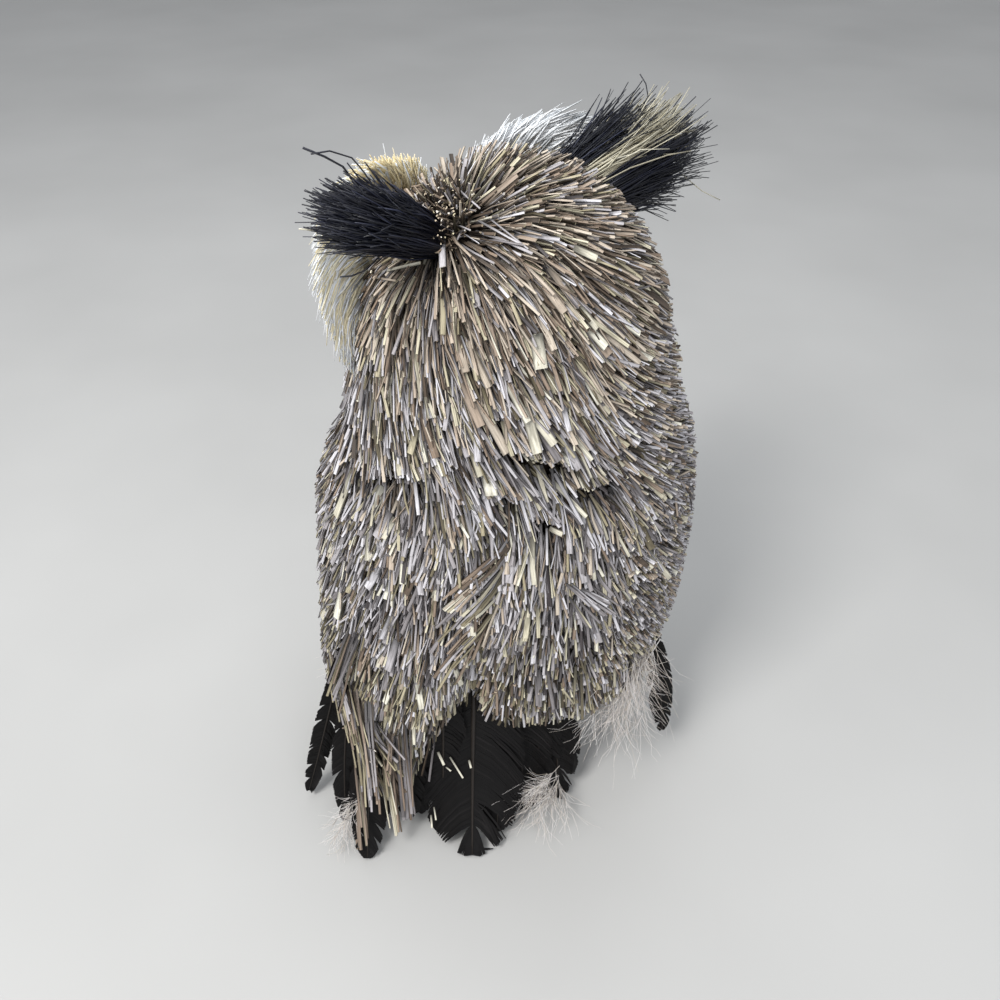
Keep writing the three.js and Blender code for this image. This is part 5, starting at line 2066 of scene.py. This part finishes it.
# %% Down
DOWN_RAMP = [(0, paint(206, 194, 180)), (0.5, paint(236, 230, 226)), (1, paint(252, 250, 250))]
DOWN_END = paint(246, 244, 242)
down_finishes = [bristle_finish("down_white", 0, DOWN_RAMP, 0.1, DOWN_END, 0.85, 0.75)]
STEM_STOPS = 8
THREAD_STOPS = 6
STEM_WIDTH = 0.22
THREAD_WIDTH = 0.14
# Each clump's root, tip, half width in mm, number of plumes and number of barbs.
DOWN_CLUMPS = {
    "down_flank_right": ((-50, 11, 62), (-39, 27, 25), 12, 14, 640),
    "down_flank_left": ((37, -8.3, 52), (43, -1.3, 16), 8, 8, 420),
    "down_tail_right": ((-21, 38, 17), (-14, 45, 8), 8.5, 9, 260),
    "down_tail_left": ((41.5, 40, 18), (49, 53, 4), 4.5, 6, 300),
}


def wavy(start, aim, length, stops, sway):
    """Soft threads that set out along aim and wander as they go."""
    count = len(start)
    shares = np.linspace(0, 1, stops)
    aside = unit(np.cross(aim, rng.normal(size=(count, 3))))
    other = np.cross(aim, aside)
    bow = rng.normal(0, sway, (count, 1)) * shares ** 2
    ripple = rng.uniform(0.03, 0.10, (count, 1)) * np.sin(shares * rng.uniform(5, 11, (count, 1))) * shares
    reach = length[:, None] * shares
    path = start[:, None] + aim[:, None] * reach[..., None]
    path = path + aside[:, None] * (length[:, None] * bow)[..., None]
    return path + other[:, None] * (length[:, None] * ripple)[..., None]


def down_piece(name, root, tip, half, plumes, barbs):
    root, tip = np.array(root, float), np.array(tip, float)
    start = root + rng.normal(0, 0.3, (plumes, 3)) * half
    finish = tip + rng.normal(0, 0.55, (plumes, 3)) * half * [1, 0.7, 0.8]
    finish[:, 2] = np.maximum(finish[:, 2], 2.5)
    whole = np.linalg.norm(finish - start, axis=1)
    stem_length = whole * rng.uniform(0.75, 1.0, plumes)
    stems = wavy(start, unit(finish - start), stem_length, STEM_STOPS, 0.12)
    pick = rng.integers(0, plumes, barbs)
    at = rng.uniform(0.08, 0.98, barbs) * (STEM_STOPS - 1)
    low = np.minimum(at.astype(int), STEM_STOPS - 2)
    base = mix(stems[pick, low], stems[pick, low + 1], (at - low)[:, None])
    course = unit(stems[pick, low + 1] - stems[pick, low])
    spread = unit(np.cross(course, rng.normal(size=(barbs, 3))))
    opened = rng.uniform(0.5, 1.1, barbs)[:, None]
    length = rng.uniform(0.4, 1.3, barbs) * half * 1.25
    threads = wavy(base, unit(course + spread * opened), length, THREAD_STOPS, 0.4)
    threads[..., 2] = np.maximum(threads[..., 2], 0.4)
    batches = []
    for path, width in [(stems, STEM_WIDTH), (threads, THREAD_WIDTH)]:
        count, stops = path.shape[:2]
        facing = unit(rng.normal(size=(count, 3)))
        tone = np.clip(rng.normal(0.5, 0.25, count), 0, 0.999)
        widths = np.full(count, width)
        taper = np.linspace(1, 0.4, stops)
        batches.append(bars(path, facing, widths, widths * 0.8, np.zeros(count, int), tone,
                            sides=3, taper=taper, round_off=True))
    make_piece(f"{name}_plumes", batches, down_finishes, [name])


for name, clump in DOWN_CLUMPS.items():
    down_piece(name, *clump)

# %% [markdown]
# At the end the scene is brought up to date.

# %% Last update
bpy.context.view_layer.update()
